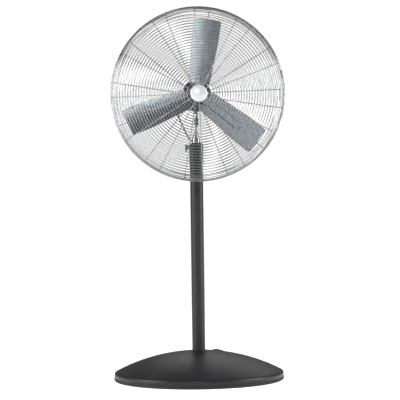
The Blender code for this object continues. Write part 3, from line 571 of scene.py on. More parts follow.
class Form:
    """A mesh in the making: shapes are added to it, and it becomes one piece."""

    def __init__(self) -> None:
        """Starts empty."""
        self.points: list[Vector] = []
        self.faces: list[tuple[int, ...]] = []

    def add(self, points: Sequence[Vector], faces: Sequence[tuple[int, ...]]) -> "Form":
        """Adds points and the faces between them.

        Args:
            points: the points.
            faces: faces, as indices into those points.

        Returns:
            The form.
        """
        start = len(self.points)
        self.points.extend(points)
        self.faces.extend(tuple(start + i for i in face) for face in faces)
        return self

    def turned(
        self,
        profile: Sequence[Point2],
        centre: Sequence[float],
        axis: Axis = Axis.UP,
        steps: int = 64,
        place: Matrix | None = None,
    ) -> "Form":
        """Adds a solid of revolution.

        Args:
            profile: (radius, height) points that run down the outer side and back up. A profile whose ends are
                on the axis closes there, and any other closes on itself.
            centre: where the profile's origin goes.
            axis: where its height points.
            steps: segments round.
            place: a whole placement, in place of centre and axis.

        Returns:
            The form.
        """
        matrix = place or Matrix.Translation(centre) @ axis.matrix()
        loops: list[list[int]] = []
        points: list[Vector] = []
        for radius, height in profile:
            if radius < ON_AXIS:
                loops.append([len(points)])
                points.append(matrix @ Vector((0, 0, height)))
                continue
            loops.append(list(range(len(points), len(points) + steps)))
            for i in range(steps):
                turn = tau * i / steps
                points.append(matrix @ Vector((radius * cos(turn), radius * sin(turn), height)))
        pairs = list(zip(loops, loops[1:]))
        if profile[0][0] >= ON_AXIS:
            pairs.append((loops[-1], loops[0]))
        faces: list[tuple[int, ...]] = []
        for upper, lower in pairs:
            for i in range(steps):
                j = (i + 1) % steps
                if len(upper) == 1 and len(lower) > 1:
                    faces.append((upper[0], lower[i], lower[j]))
                elif len(lower) == 1 and len(upper) > 1:
                    faces.append((upper[j], upper[i], lower[0]))
                elif len(upper) > 1:
                    faces.append((upper[j], upper[i], lower[i], lower[j]))
        return self.add(points, faces)

    def wire(self, line: Sequence[Vector], radius: float, sides: int = 10, closed: bool = False) -> "Form":
        """Adds a round wire along a line, with rounded ends where it is open.

        Args:
            line: the wire's centre line.
            radius: its radius.
            sides: segments round it.
            closed: whether its end joins its start.

        Returns:
            The form.
        """
        count = len(line)
        if closed:
            tangents = [(line[(i + 1) % count] - line[i - 1]).normalized() for i in range(count)]
        else:
            tangents = [(line[min(i + 1, count - 1)] - line[max(i - 1, 0)]).normalized() for i in range(count)]
        side = tangents[0].orthogonal().normalized()
        loops: list[list[Vector]] = []
        radii = [radius] * count
        spine = list(line)
        if not closed:
            first = line[0] - tangents[0] * radius * WIRE_END_REACH
            last = line[-1] + tangents[-1] * radius * WIRE_END_REACH
            spine = [first, *line, last]
            tangents = [tangents[0], *tangents, tangents[-1]]
            radii = [radius * WIRE_END_WIDTH, *radii, radius * WIRE_END_WIDTH]
        for at, along, reach in zip(spine, tangents, radii):
            side = (side - along * side.dot(along)).normalized()
            other = along.cross(side)
            turns = [tau * k / sides for k in range(sides)]
            loops.append([at + (side * cos(turn) + other * sin(turn)) * reach for turn in turns])
        return self.lofted(loops, closed)

    def ring(self, radius: float, y: float, wire: float, steps: int = 120, sides: int = 10) -> "Form":
        """Adds a wire ring about the fan's axis."""
        line = [around_fan(radius, 360 * i / steps, y) for i in range(steps)]
        return self.wire(line, wire, sides, closed=True)

    def slab(self, outline: Sequence[Point2], thickness: float, place: Matrix, bevel: float = 0.0003) -> "Form":
        """Adds a flat plate with small bevels: an outline in its own XY plane, centred on that plane.

        Args:
            outline: the plate's outline.
            thickness: its thickness.
            place: where its plane goes.
            bevel: the width of its bevels.

        Returns:
            The form.
        """
        area = sum(a[0] * b[1] - b[0] * a[1] for a, b in zip(outline, [*outline[1:], outline[0]]))
        points2 = [Vector(p) for p in (outline if area > 0 else outline[::-1])]
        count = len(points2)
        inset: list[Vector] = []
        for i, here in enumerate(points2):
            before = (here - points2[i - 1]).normalized()
            after = (points2[(i + 1) % count] - here).normalized()
            inward = Vector((-before.y, before.x)) + Vector((-after.y, after.x))
            length = max(inward.length, 0.3)
            inset.append(here + inward / length * bevel * min(2 / length, 1.5))
        half = thickness / 2
        levels = [(inset, -half), (points2, -half + bevel), (points2, half - bevel), (inset, half)]
        return self.lofted([[place @ Vector((p.x, p.y, z)) for p in loop] for loop, z in levels])

    def lofted(self, loops: Sequence[Sequence[Vector]], closed: bool = False) -> "Form":
        """Adds a skin through loops of equal length: ends filled, or last joined to first if closed.

        Args:
            loops: the loops, in order.
            closed: whether the last loop joins the first.

        Returns:
            The form.
        """
        count = len(loops[0])
        faces: list[tuple[int, ...]] = []
        for n in range(len(loops) if closed else len(loops) - 1):
            a, b = n * count, (n + 1) % len(loops) * count
            for i in range(count):
                j = (i + 1) % count
                faces.append((a + i, a + j, b + j, b + i))
        if not closed:
            faces.append(tuple(range(count))[::-1])
            faces.append(tuple(range((len(loops) - 1) * count, len(loops) * count)))
        return self.add([p for loop in loops for p in loop], faces)

    def pierced(
        self, outlines: Sequence[Sequence[Point2]], thickness: float, place: Matrix, bevel: float = 0.0004
    ) -> "Form":
        """Adds a flat plate with holes: the first outline is its rim, and the others are its holes.

        Args:
            outlines: the rim, then the holes.
            thickness: the plate's thickness.
            place: where its plane goes.
            bevel: the width of its bevels.

        Returns:
            The form.
        """
        curve = bpy.data.curves.new("plate", "CURVE")
        curve.dimensions = "2D"
        curve.fill_mode = "BOTH"
        curve.extrude = thickness / 2 - bevel
        curve.bevel_depth = bevel
        curve.bevel_resolution = 1
        curve.offset = -bevel
        for outline in outlines:
            spline = curve.splines.new("POLY")
            spline.points.add(len(outline) - 1)
            for vertex, (x, y) in zip(spline.points, outline):
                vertex.co = (x, y, 0, 1)
            spline.use_cyclic_u = True
        holder = bpy.data.objects.new("plate", curve)
        bpy.context.scene.collection.objects.link(holder)
        data = bpy.data.meshes.new_from_object(holder)
        points = [place @ v.co for v in data.vertices]
        faces = [tuple(f.vertices) for f in data.polygons]
        bpy.data.objects.remove(holder)
        bpy.data.curves.remove(curve)
        bpy.data.meshes.remove(data)
        return self.add(points, faces)

    def hexagon(self, across: float, height: float, place: Matrix, hole: float = 0.0) -> "Form":
        """Adds a hex head or nut with chamfered corners, standing on its placement's XY plane.

        Args:
            across: the width across flats.
            height: the height.
            place: where it stands.
            hole: the radius of a hole through it, or 0.

        Returns:
            The form.
        """
        radius = across / sqrt(3)
        steps = 48
        rims: list[list[Vector]] = []
        levels = ((0.86, 0.0), (1.0, 0.12), (1.0, 0.82), (0.86, 1.0))
        for share, level in levels:
            loop = []
            for i in range(steps):
                turn = tau * i / steps
                flat = radius * cos(pi / 6) / cos((turn % (pi / 3)) - pi / 6)
                reach = min(flat, radius * share)
                loop.append(place @ Vector((reach * cos(turn), reach * sin(turn), level * height)))
            rims.append(loop)
        if hole:
            for level in (1.0, 0.0):
                rims.append([place @ Vector((x, y, level * height)) for x, y in circle(hole, steps)])
        return self.lofted(rims, closed=bool(hole))

    def become(
        self,
        name: str,
        body: Body,
        finish: Finish,
        replaces: Sequence[str],
        crease: float = 34,
    ) -> bpy.types.Object:
        """Makes the piece, shades it, and puts it on its body.

        Args:
            name: the piece's name.
            body: the body that it rides on.
            finish: its finish.
            replaces: the CAD nodes that it stands for.
            crease: the angle in degrees above which an edge stays sharp.

        Returns:
            The object.
        """
        return dress(self.mesh_object(name, finish, crease), body, replaces)

    def mesh_object(self, name: str, finish: Finish, crease: float = 34) -> bpy.types.Object:
        """Makes the bare object.

        Args:
            name: the piece's name.
            finish: its finish.
            crease: the angle in degrees above which an edge stays sharp.

        Returns:
            The object.
        """
        data = bpy.data.meshes.new(name)
        data.from_pydata([tuple(p) for p in self.points], [], self.faces)
        data.validate()
        data.shade_smooth()
        data.set_sharp_from_angle(angle=radians(crease))
        data.materials.append(finish.material())
        piece = bpy.data.objects.new(name, data)
        bpy.context.scene.collection.objects.link(piece)
        return piece


def dress(piece: bpy.types.Object, body: Body, replaces: Sequence[str]) -> bpy.types.Object:
    """Puts a piece on its body, in place of its CAD nodes.

    Args:
        piece: the object.
        body: the body that it rides on.
        replaces: the CAD nodes that it stands for.

    Returns:
        The same object.
    """
    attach(piece, body.value)
    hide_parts(*replaces)
    log.info("%s rides on %s", piece.name, body.value)
    return piece


def keep(node: str, finish: Finish) -> None:
    """Gives a carried-over CAD node its finish.

    Args:
        node: the CAD node.
        finish: its finish.
    """
    piece = frame["nodes"][node]
    piece.data.materials.clear()
    piece.data.materials.append(finish.material())
    log.info("%s keeps its packed shape", node)


def hex_bolt(
    form: Form, seat: Vector, along: Vector, radius: float, shank: float, across: float, head: float
) -> None:
    """Adds a chamfered hex bolt.

    Args:
        form: what it is added to.
        seat: where its head stands.
        along: the way its shank runs.
        radius: the shank's radius.
        shank: the shank's length.
        across: the head's width across flats.
        head: the head's height.
    """
    turn = along.normalized().to_track_quat("Z", "Y").to_matrix().to_4x4()
    place = Matrix.Translation(seat) @ turn
    form.hexagon(across, head, place @ Matrix.Translation((0, 0, -head)))
    form.turned(
        [(0, 0.0), (radius, 0.0), (radius, shank - 0.0008), (radius - 0.0008, shank), (0, shank)][::-1],
        (0, 0, 0),
        steps=32,
        place=place @ Matrix.Translation((0, 0, -0.0005)),
    )


@dataclass
class Viewpoint:
    """The camera and the plain studio round it."""

    distance: float = 8.0
    azimuth: float = -3.3  # degrees from straight in front, towards -X
    height: float = 0.945
    lens: float = 147.69
    sensor: float = 36.0
    shift: Point2 = (0.0083, -0.0363)
    roll: float = -0.75
    floor_reach: float = 14.0

    def camera(self) -> None:
        """Makes the camera and looks through it."""
        data = bpy.data.cameras.new("studio_camera")
        data.sensor_width = self.sensor
        data.lens = self.lens
        data.shift_x, data.shift_y = self.shift
        data.clip_end = 60
        turn = radians(self.azimuth)
        place = Vector((self.distance * sin(turn), -self.distance * cos(turn), self.height))
        towards = Vector((0, 0, self.height)) - place
        rotation = towards.to_track_quat("-Z", "Y").to_matrix() @ Matrix.Rotation(radians(self.roll), 3, "Z")
        camera = bpy.data.objects.new("studio_camera", data)
        camera.matrix_world = Matrix.Translation(place) @ rotation.to_4x4()
        bpy.context.scene.collection.objects.link(camera)
        bpy.context.scene.camera = camera

    def lamp(self, name: str, place: Point3, aim: Point3, size: Point2, watts: float) -> None:
        """Adds one soft area light.

        Args:
            name: the light's name.
            place: where it is.
            aim: the point it faces.
            size: its width and height.
            watts: its power.
        """
        data = bpy.data.lights.new(name, "AREA")
        data.shape = "RECTANGLE"
        data.size, data.size_y = size
        data.energy = watts
        made = bpy.data.objects.new(name, data)
        towards = Vector(aim) - Vector(place)
        made.matrix_world = Matrix.Translation(place) @ towards.to_track_quat("-Z", "Y").to_matrix().to_4x4()
        bpy.context.scene.collection.objects.link(made)

    def floor(self) -> None:
        """Makes the plain pale floor."""
        reach = self.floor_reach
        corners = [(-reach, -reach, 0), (reach, -reach, 0), (reach, reach, 0), (-reach, reach, 0)]
        data = bpy.data.meshes.new("studio_floor")
        data.from_pydata(corners, [], [(0, 1, 2, 3)])
        graph = Graph("studio_floor")
        graph.set(
            Base_Color=(0.80, 0.80, 0.80),
            Roughness=0.85,
            Specular_IOR_Level=0.1,
            Emission_Color=(1.0, 1.0, 1.0),
            Emission_Strength=0.92,
        )
        data.materials.append(graph.material)
        made = bpy.data.objects.new("studio_floor", data)
        made.visible_diffuse = False
        bpy.context.scene.collection.objects.link(made)

    def studio(self) -> None:
        """Makes the floor, the lights, and a surround that is white to look at but dim in reflections."""
        self.floor()
        self.lamp("left_softbox", (-3.2, -1.0, 1.4), (0, 0, 1.0), (1.6, 2.8), 95)
        self.lamp("right_softbox", (3.2, -0.8, 1.4), (0, 0, 1.0), (1.6, 2.8), 90)
        self.lamp("back_softbox", (0.8, 3.4, 2.6), (0, 0, 0.2), (3.0, 1.4), 18)
        self.lamp("front_fill", (-1.0, -5.5, 3.0), (0, 0, 1.0), (1.6, 1.2), 105)
        world = bpy.data.worlds.new("studio_surround")
        world.use_nodes = True
        background = world.node_tree.nodes["Background"]
        background.inputs["Color"].default_value = (1, 1, 1, 1)
        ray = world.node_tree.nodes.new("ShaderNodeLightPath")
        strength = world.node_tree.nodes.new("ShaderNodeMapRange")
        strength.inputs["To Min"].default_value = 0.15
        strength.inputs["To Max"].default_value = 1.05
        world.node_tree.links.new(ray.outputs["Is Camera Ray"], strength.inputs["Value"])
        world.node_tree.links.new(strength.outputs["Result"], background.inputs["Strength"])
        bpy.context.scene.world = world
        bpy.context.scene.view_settings.view_transform = "Standard"


@dataclass
class MainsCord:
    """The mains lead: a gland on the dome's back, a free stretch, a tied coil, and a plug."""

    dome: "DomeBase"
    radius: float = 0.0035
    gland_radius: float = 0.165
    gland_turn: float = 58
    gland_rise: float = 11
    gland_length: float = 0.026
    rim_turn: float = 33
    coil_centre: Point2 = (0.050, 0.478)
    coil_mean: float = 0.0387
    layers: int = 4
    plug_at: Point2 = (-0.066, 0.446)
    plug_turn: float = 178

    def gland_frame(self) -> Matrix:
        """Where the cord leaves the dome: +Z points out of it, low over its surface.

        Returns:
            The gland's placement.
        """
        foot = self.dome.on_dome(self.gland_radius, self.gland_turn, 0)
        ahead = self.dome.on_dome(self.gland_radius + 0.02, self.gland_turn, 0) - foot
        normal = self.dome.on_dome(self.gland_radius, self.gland_turn, 1) - foot
        rise = radians(self.gland_rise)
        along = ahead.normalized() * cos(rise) + normal.normalized() * sin(rise)
        return Matrix.Translation(foot) @ along.to_track_quat("Z", "X").to_matrix().to_4x4()

    def free_stops(self) -> list[Vector]:
        """The free stretch: over the dome's back, off its rim and along the floor, up to the coil.

        Returns:
            Points on the cord's centre line.
        """
        on_dome = self.dome.on_dome
        lift = self.radius + 0.0006
        floor = self.radius + GAP
        place = self.gland_frame()
        over = [(0.3940, 0.0531), (0.4045, 0.0480), (0.4143, 0.0405)]
        down = [(0.4236, 0.0296), (0.4330, 0.0186), (0.4466, 0.0081), (0.4636, floor + 0.0002)]
        turn = radians(self.rim_turn)
        return [
            place @ Vector((0, 0, self.gland_length + GAP)),
            place @ Vector((0, 0, self.gland_length + 0.010)),
            on_dome(0.232, 54.0, lift + 0.0005),
            on_dome(0.262, 47.5, lift + 0.0005),
            on_dome(0.300, 40.5, lift + 0.0005),
            on_dome(0.340, 35.5, lift + 0.0005),
            on_dome(0.372, 33.5, lift + 0.0005),
            *[Vector((r * cos(turn), r * sin(turn), z)) for r, z in (*over, *down)],
            Vector((0.4080, 0.2860, floor)),
            Vector((0.4000, 0.3170, floor)),
            Vector((0.3780, 0.3360, floor)),
            Vector((0.3300, 0.3640, floor)),
            Vector((0.2700, 0.3960, floor)),
            Vector((0.2000, 0.4240, floor)),
            Vector((0.1350, 0.4350, floor)),
            Vector((0.0900, 0.4352, floor)),
        ]

    def coil_stops(self) -> list[Vector]:
        """The turns: two side by side in each layer, outer then inner, and the tail that runs to the plug.

        Returns:
            Points on the cord's centre line.
        """
        x, y = self.coil_centre
        pitch = 2 * self.radius + 0.0002
        outer = self.coil_mean + pitch / 2
        inner = self.coil_mean - pitch / 2
        stops: list[Vector] = []
        start = -90.0
        per_turn = 16
        for layer in range(self.layers):
            pair = (outer, inner) if layer % 2 == 0 else (inner, outer)
            for side, reach in enumerate(pair):
                if layer == self.layers - 1 and side == 1:
                    break
                height = self.radius + GAP + layer * pitch
                after = pair[1] if side == 0 else reach
                above = height if side == 0 else height + pitch
                for i in range(per_turn):
                    share = max(0.0, (i - per_turn + 5) / 5)
                    ease = share * share * (3 - 2 * share)
                    turn = radians(start - 360 * i / per_turn)
                    r = reach + (after - reach) * ease
                    if layer == self.layers - 1:
                        above = height
                        r = reach
                    z = height + (above - height) * ease
                    stops.append(Vector((x + r * cos(turn), y + r * sin(turn), z)))
        return stops

    def tail_stops(self) -> list[Vector]:
        """From the top turn over the coil's side and down to the plug's neck.

        Returns:
            Points on the cord's centre line.
        """
        x, y = self.coil_centre
        neck = self.plug_frame() @ Vector((-0.034, 0, 0))
        back = self.plug_frame() @ Vector((-0.046, 0, -0.0003))
        return [
            Vector((x, y - 0.0351, 0.0255)),
            Vector((x - 0.018, y - 0.0353, 0.0255)),
            Vector((x - 0.033, y - 0.0350, 0.0232)),
            Vector((x - 0.051, y - 0.0342, 0.0168)),
            back,
            neck,
        ]

    def plug_frame(self) -> Matrix:
        """The plug's own frame: +X points out along its blades."""
        x, y = self.plug_at
        return Matrix.Translation((x, y, 0.0125)) @ Matrix.Rotation(radians(self.plug_turn), 4, "Z")

    def gland(self) -> bpy.types.Object:
        """The tapered strain relief, ringed with flex slots.

        Returns:
            The piece.
        """
        profile = [(self.radius + GAP, self.gland_length), (self.radius + 0.0015, self.gland_length)]
        rings = 7
        for i in range(rings):
            share = i / rings
            reach = self.radius + 0.0015 + (0.0064 - self.radius - 0.0015) * share
            height = self.gland_length - 0.002 - 0.017 * share
            profile += [(reach, height), (reach - 0.0009, height - 0.0005), (reach - 0.0009, height - 0.0013)]
            profile += [(reach + 0.0003, height - 0.0018)]
        profile += [(0.0066, 0.0095), (0.0072, 0.0020), (0.0072, -0.020), (self.radius + GAP, -0.020)]
        form = Form().turned(profile, (0, 0, 0), steps=48, place=self.gland_frame())
        return form.become("cord_strain_relief", Body.BASE, Finish.PLASTIC, ["cord_gland"])

    def tie(self) -> bpy.types.Object:
        """A hook-and-loop band round the coil's right side.

        Returns:
            The piece.
        """
        low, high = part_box("cord_tie")
        width = high.y - low.y
        corner = 0.004
        wall = 0.0011
        outline = fillet(
            [
                (low.x, low.z, 0),
                (low.x, high.z, corner),
                (high.x, high.z, corner),
                (high.x, low.z, 0),
                (high.x - wall, low.z, 0),
                (high.x - wall, high.z - wall, corner - wall),
                (low.x + wall, high.z - wall, corner - wall),
                (low.x + wall, low.z, 0),
            ],
            closed=True,
        )
        place = Matrix.Translation((0, (low.y + high.y) / 2, 0)) @ UPRIGHT
        form = Form().slab(outline, width, place, 0.0001)
        return form.become("coil_tie", Body.BASE, Finish.PLASTIC, ["cord_tie"], 50)

    def plug(self) -> list[bpy.types.Object]:
        """The moulded plug: body with finger ridges, a ringed neck, two flat blades and an earth pin.

        Returns:
            The body, the two blades and the pin.
        """
        place = self.plug_frame()
        turn = place @ FACING_RIGHT
        form = Form()
        wide, high, long = 0.013, 0.01225, 0.017
        count = 40
        stations: list[tuple[float, float]] = []
        for i in range(25):
            share = i / 24
            at = -long + 2 * long * share
            ridge = 0.0004 * (1 - cos(share * 8 * tau)) / 2 if share < 0.75 else 0
            rounding = min(1, 0.86 + 0.14 * min(share * 9, (1 - share) * 30, 1))
            stations.append((at, rounding - ridge / wide))
        power = 0.45
        loops: list[list[Vector]] = []
        for at, scale in stations:
            loop: list[Vector] = []
            for k in range(count):
                angle = tau * k / count
                c, s = cos(angle), sin(angle)
                x = wide * scale * abs(c) ** power * (1 if c > 0 else -1)
                y = high * scale * abs(s) ** power * (1 if s > 0 else -1)
                loop.append(turn @ Vector((x, y, at)))
            loops.append(loop)
        form.lofted(loops)
        neck = [(0, -0.0165), (0.0066, -0.0165)]
        for i in range(5):
            at = -0.0180 - 0.0030 * i
            reach = 0.0064 - 0.0004 * i
            groove = reach - 0.0009
            neck += [(reach, at), (groove, at - 0.0005), (groove, at - 0.0015), (reach, at - 0.0020)]
        neck += [(0.0042, -0.0340), (0, -0.0340)]
        form.turned(neck, (0, 0, 0), steps=32, place=turn)
        made = [form.become("plug_body", Body.BASE, Finish.CORD_JACKET, ["mains_plug"], 40)]
        for name, across in (("plug_blade_1", 0.0064), ("plug_blade_2", -0.0064)):
            half, tip, corner = 0.00315, 0.018, 0.0012
            corners = [(0, -half, 0), (tip, -half, corner), (tip, half, corner), (0, half, 0)]
            outline = fillet(corners, closed=True)
            stand = place @ Matrix.Translation((0.017 + GAP, across, 0.003)) @ Matrix.Rotation(pi / 2, 4, "X")
            blade = Form().slab(outline, 0.0015, stand, 0.0002)
            made.append(blade.become(name + "_fine", Body.BASE, Finish.BRASS, [name]))
        stand = turn @ Matrix.Translation((0, -0.0065, 0.017 + GAP))
        profile = [(0, 0.021), (0.0013, 0.0205), (0.0024, 0.0185), (0.0024, 0), (0, 0)]
        pin = Form().turned(profile, (0, 0, 0), steps=24, place=stand)
        made.append(pin.become("earth_pin", Body.BASE, Finish.BRASS, ["plug_earth_pin"]))
        return made

    def build(self) -> None:
        gland = self.gland()
        tie = self.tie()
        plug = self.plug()
        line = smooth_line([*self.free_stops(), *self.coil_stops(), *self.tail_stops()])
        path = evenly(line, CORD_STEP)
        form = Form().wire(path, self.radius, 12)
        cord = form.become("mains_lead", Body.BASE, Finish.CORD_JACKET, ["mains_cord", "cord_coil"], 60)
        log.info("the mains lead is %.3f m long", line_length(path))
        round(line_length(path), 2)


@dataclass
class DomeBase:
    """The weighted dome base: pressed dome, edging ring and what is inside."""

    radius: float = 0.412
    curve_radius: float = 0.88
    top: float = 0.1415
    wall: float = 0.0025
    rim_top: float = 0.031
    rim_round: float = 0.012
    edge_height: float = 0.0165
    edge_width: float = 0.020
    hole: float = 0.03235

    def height(self, radius: float) -> float:
        """Height of the dome's outer face at a radius."""
        return self.top - self.curve_radius + sqrt(self.curve_radius**2 - radius**2)

    def on_dome(self, radius: float, turn: float, lift: float) -> Vector:
        """A point lift above the dome's outer face, at a radius and a compass angle from +X.

        Args:
            radius: the distance from the pole's axis.
            turn: the angle from +X, in degrees.
            lift: the height over the face.

        Returns:
            The point.
        """
        slope = atan2(radius, sqrt(self.curve_radius**2 - radius**2))
        out = Vector((cos(radians(turn)), sin(radians(turn)), 0))
        return out * (radius + lift * sin(slope)) + Vector((0, 0, self.height(radius) + lift * cos(slope)))

    def shell(self) -> None:
        """The pressed dome, with its rolled rim and the turned-down lip at the pole's hole."""
        shoulder = self.radius - self.rim_round
        steps = 44
        outer = [(self.hole, self.height(self.hole) + 0.0012)]
        outer += [(self.hole + 0.0012, self.height(self.hole) + 0.0002)]
        for i in range(steps + 1):
            r = self.hole + 0.004 + (shoulder - self.hole - 0.004) * i / steps
            outer.append((r, self.height(r)))
        centre = (shoulder - 0.001, self.rim_top)
        reach = self.radius - centre[0]
        for i in range(9):
            turn = radians(56 - 7 * i)
            outer.append((centre[0] + reach * cos(turn), centre[1] + reach * sin(turn)))
        outer.append((self.radius, self.edge_height + 0.0012))
        outer.append((self.radius - 0.0006, self.edge_height + GAP))
        inner = [(self.radius - self.wall, self.edge_height + GAP), (self.radius - self.wall, self.rim_top)]
        for i in range(12):
            r = shoulder - 0.002 - (shoulder - 0.002 - self.hole) * i / 11
            inner.append((r, self.height(r) - self.wall))
        form = Form().turned(outer + inner, (0, 0, 0), steps=192)
        form.become("dome_shell", Body.BASE, Finish.DOME_COAT, ["base_dome"])

    def edging(self) -> None:
        """The rubber ring that the rim stands on, with a shallow groove round its side."""
        low, high = self.radius - self.edge_width, self.radius + 0.001
        profile = fillet(
            [
                (high, self.edge_height, 0.0010),
                (high, 0.0128, 0.0002),
                (high - 0.0008, 0.0122, 0.0002),
                (high - 0.0008, 0.0112, 0.0002),
                (high, 0.0106, 0.0002),
                (high, 0.0060, 0.0016),
                (high - 0.0020, 0.0020, 0.0016),
                (high - 0.0060, 0, 0.0012),
                (low, 0, 0.0010),
                (low, self.edge_height, 0.0010),
            ],
            closed=True,
        )
        form = Form().turned(profile, (0, 0, 0), steps=192)
        form.become("edging_ring", Body.BASE, Finish.RUBBER, ["rubber_edge_ring"])

    def inside(self) -> None:
        """The plate, weight, socket and bolts, which stay as packed."""
        keep("base_plate", Finish.ZINC)
        keep("ballast_disc", Finish.IRON)
        keep("pole_socket", Finish.ZINC)
        for i in range(1, 4):
            keep(f"socket_bolt_{i}", Finish.ZINC)

    def build(self) -> None:
        """Builds the base."""
        self.shell()
        self.edging()
        self.inside()


@dataclass
class Column:
    """The painted pole with its bush and height clamp, and the sliding chrome mast."""

    pole_radius: float = 0.03175
    pole_wall: float = 0.002
    pole_top: float = 1.146
    mast_radius: float = 0.01905
    mast_bottom: float = 0.46
    round_top: float = 1.168
    flat_bottom: float = 1.226
    mast_top: float = 1.280
    tongue_thickness: float = 0.0052
    tongue_width: float = 0.044
    end_round: float = 0.012
    end_drop: float = 0.009
    screw_height: float = 1.131
    screw_length: float = 0.025
    lock_drop: float = 0.019

    def pole(self) -> None:
        """The pole, with small rounded ends."""
        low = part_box("outer_pole")[0].z
        inner, outer, top = self.pole_radius - self.pole_wall, self.pole_radius, self.pole_top
        corners = [(outer, top, 0.0008), (outer, low, 0.0006), (inner, low, 0), (inner, top, 0.0004)]
        form = Form().turned(fillet(corners, closed=True), (0, 0, 0), steps=96)
        form.become("pole_tube", Body.BASE, Finish.POLE_COAT, ["outer_pole"])

    def bush(self) -> None:
        """The guide bush, whose rounded rim caps the pole."""
        inner = self.pole_radius - self.pole_wall - GAP
        bore = self.mast_radius + 0.0006
        rim = self.pole_top + GAP
        profile = fillet(
            [
                (self.pole_radius - 0.001, rim + 0.004, 0.0022),
                (self.pole_radius - 0.001, rim, 0.0004),
                (inner, rim, 0.0003),
                (inner, self.pole_top - 0.006, 0.0006),
                (bore, self.pole_top - 0.006, 0.0004),
                (bore, rim + 0.004, 0.0010),
            ],
            closed=True,
        )
        form = Form().turned(profile, (0, 0, 0), steps=72)
        form.become("guide_bush", Body.BASE, Finish.PLASTIC, ["pole_top_bush"])

    def collar(self) -> None:
        """The clamp's sleeve, with a beaded mouth, its welded boss and the bead round it."""
        low, high = self.screw_height - 0.080, self.screw_height + 0.012
        outer, inner = self.pole_radius + 0.0032, self.pole_radius + GAP
        thin = outer - 0.0012
        profile = fillet(
            [
                (outer, high, 0.0012),
                (outer, high - 0.006, 0.0008),
                (thin, high - 0.0075, 0.0008),
                (thin, low + 0.0055, 0.0008),
                (outer, low + 0.004, 0.0008),
                (outer, low, 0.0012),
                (inner, low, 0.0004),
                (inner, high, 0.0004),
            ],
            closed=True,
        )
        form = Form().turned(profile, (0, 0, 0), steps=96)
        start = self.pole_radius + 0.0006
        form.turned(
            [
                (0.0054, 0.01175),
                (0.0088, 0.01175),
                (0.0100, 0.0105),
                (0.0100, 0.0040),
                (0.0112, 0.0022),
                (0.0118, 0.0012),
                (0.0054, 0.0012),
            ],
            (-start, 0, self.screw_height),
            Axis.LEFT,
            48,
        )
        form.become("clamp_sleeve", Body.BASE, Finish.POLE_COAT, ["clamp_collar"])

    def screw(self) -> None:
        """The clamp's screw with its thread, and the three-lobed grip on its end."""
        start = self.mast_radius + 0.0008
        profile: list[Point2] = [(0, self.screw_length)]
        pitch = 0.00125
        turns = int(self.screw_length / pitch) - 1
        for i in range(turns):
            at = self.screw_length - 0.0004 - i * pitch
            profile += [(0.0041, at), (0.0048, at - pitch / 2)]
        profile += [(0.0030, 0.0), (0, 0)]
        form = Form().turned(profile, (-start, 0, self.screw_height), Axis.LEFT, 40)
        form.become("clamp_thread", Body.CLAMP, Finish.ZINC, ["clamp_screw"])
        low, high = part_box("clamp_knob")
        outline = []
        for i in range(96):
            turn = tau * i / 96
            reach = 0.0163 + 0.0033 * cos(3 * turn)
            outline.append((reach * cos(turn), reach * sin(turn)))
        middle = Matrix.Translation(((low.x + high.x) / 2, 0, self.screw_height))
        place = middle @ Matrix.Rotation(pi / 2, 4, "Y")
        form = Form().slab(outline, high.x - low.x, place, 0.0015)
        form.become("clamp_grip", Body.CLAMP, Finish.PLASTIC, ["clamp_knob"], 60)

    def section(self, height: float) -> Point2:
        """Half-width along X and half-depth along Y of the mast at a height.

        Args:
            height: a height over the floor.

        Returns:
            The half-width and the half-depth.
        """
        share = min(max((height - self.round_top) / (self.flat_bottom - self.round_top), 0), 1)
        share = share * share * (3 - 2 * share)
        across = self.mast_radius + (self.tongue_thickness / 2 - self.mast_radius) * share
        deep = self.mast_radius + (self.tongue_width / 2 - self.mast_radius) * share
        return across, deep

    def mast(self) -> None:
        """The chrome tube, pressed flat at its top."""
        sides = 72
        heights = [self.mast_bottom, self.mast_bottom + 0.0006]
        heights += [self.mast_bottom + (self.round_top - self.mast_bottom) * i / 20 for i in range(1, 21)]
        heights += [self.round_top + (self.flat_bottom - self.round_top) * i / 24 for i in range(1, 25)]
        heights += [self.mast_top - 0.016 + 0.016 * i / 12 for i in range(13)]
        loops: list[list[Vector]] = []
        for n, height in enumerate(heights):
            across, deep = self.section(height)
            over = max(0.0, height - self.mast_top + self.end_round) / self.end_round
            deep -= self.end_drop * (1 - sqrt(max(0.0, 1 - over**2)))
            if n == 0 or n == len(heights) - 1:
                across -= 0.0005
                deep -= 0.0005
            blend = min(max((height - self.round_top) / (self.flat_bottom - self.round_top), 0), 1)
            power = 1 - 0.62 * blend**1.5
            loop: list[Vector] = []
            for i in range(sides):
                turn = tau * i / sides
                c = cos(turn)
                x = across * abs(c) ** power * (1 if c > 0 else -1)
                loop.append(Vector((x, deep * sin(turn), height)))
            loops.append(loop)
        form = Form().lofted(loops)
        form.become("mast_pressed_tube", Body.MAST, Finish.MAST_CHROME, ["mast_tube"], 50)
        keep("mast_glide_bush", Finish.PLASTIC)

    def bolts(self) -> None:
        """The pivot bolt and the lock bolt, and their nuts."""
        for bolt, nut, drop in (("tilt_bolt", "tilt_nut", 0.0), ("lock_bolt", "lock_nut", self.lock_drop)):
            low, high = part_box(bolt)
            seat = Vector((high.x - 0.0052, 0, PIVOT.z - drop))
            form = Form()
            hex_bolt(form, seat, Vector((-1, 0, 0)), 0.0040, seat.x - low.x, 0.0128, 0.0052)
            form.become(bolt + "_fine", Body.MAST, Finish.ZINC, [bolt])
            low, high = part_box(nut)
            form = Form()
            place = Matrix.Translation((low.x, 0, PIVOT.z - drop)) @ Axis.RIGHT.matrix()
            form.hexagon(0.0128, high.x - low.x, place, 0.0041)
            form.become(nut + "_fine", Body.MAST, Finish.ZINC, [nut])

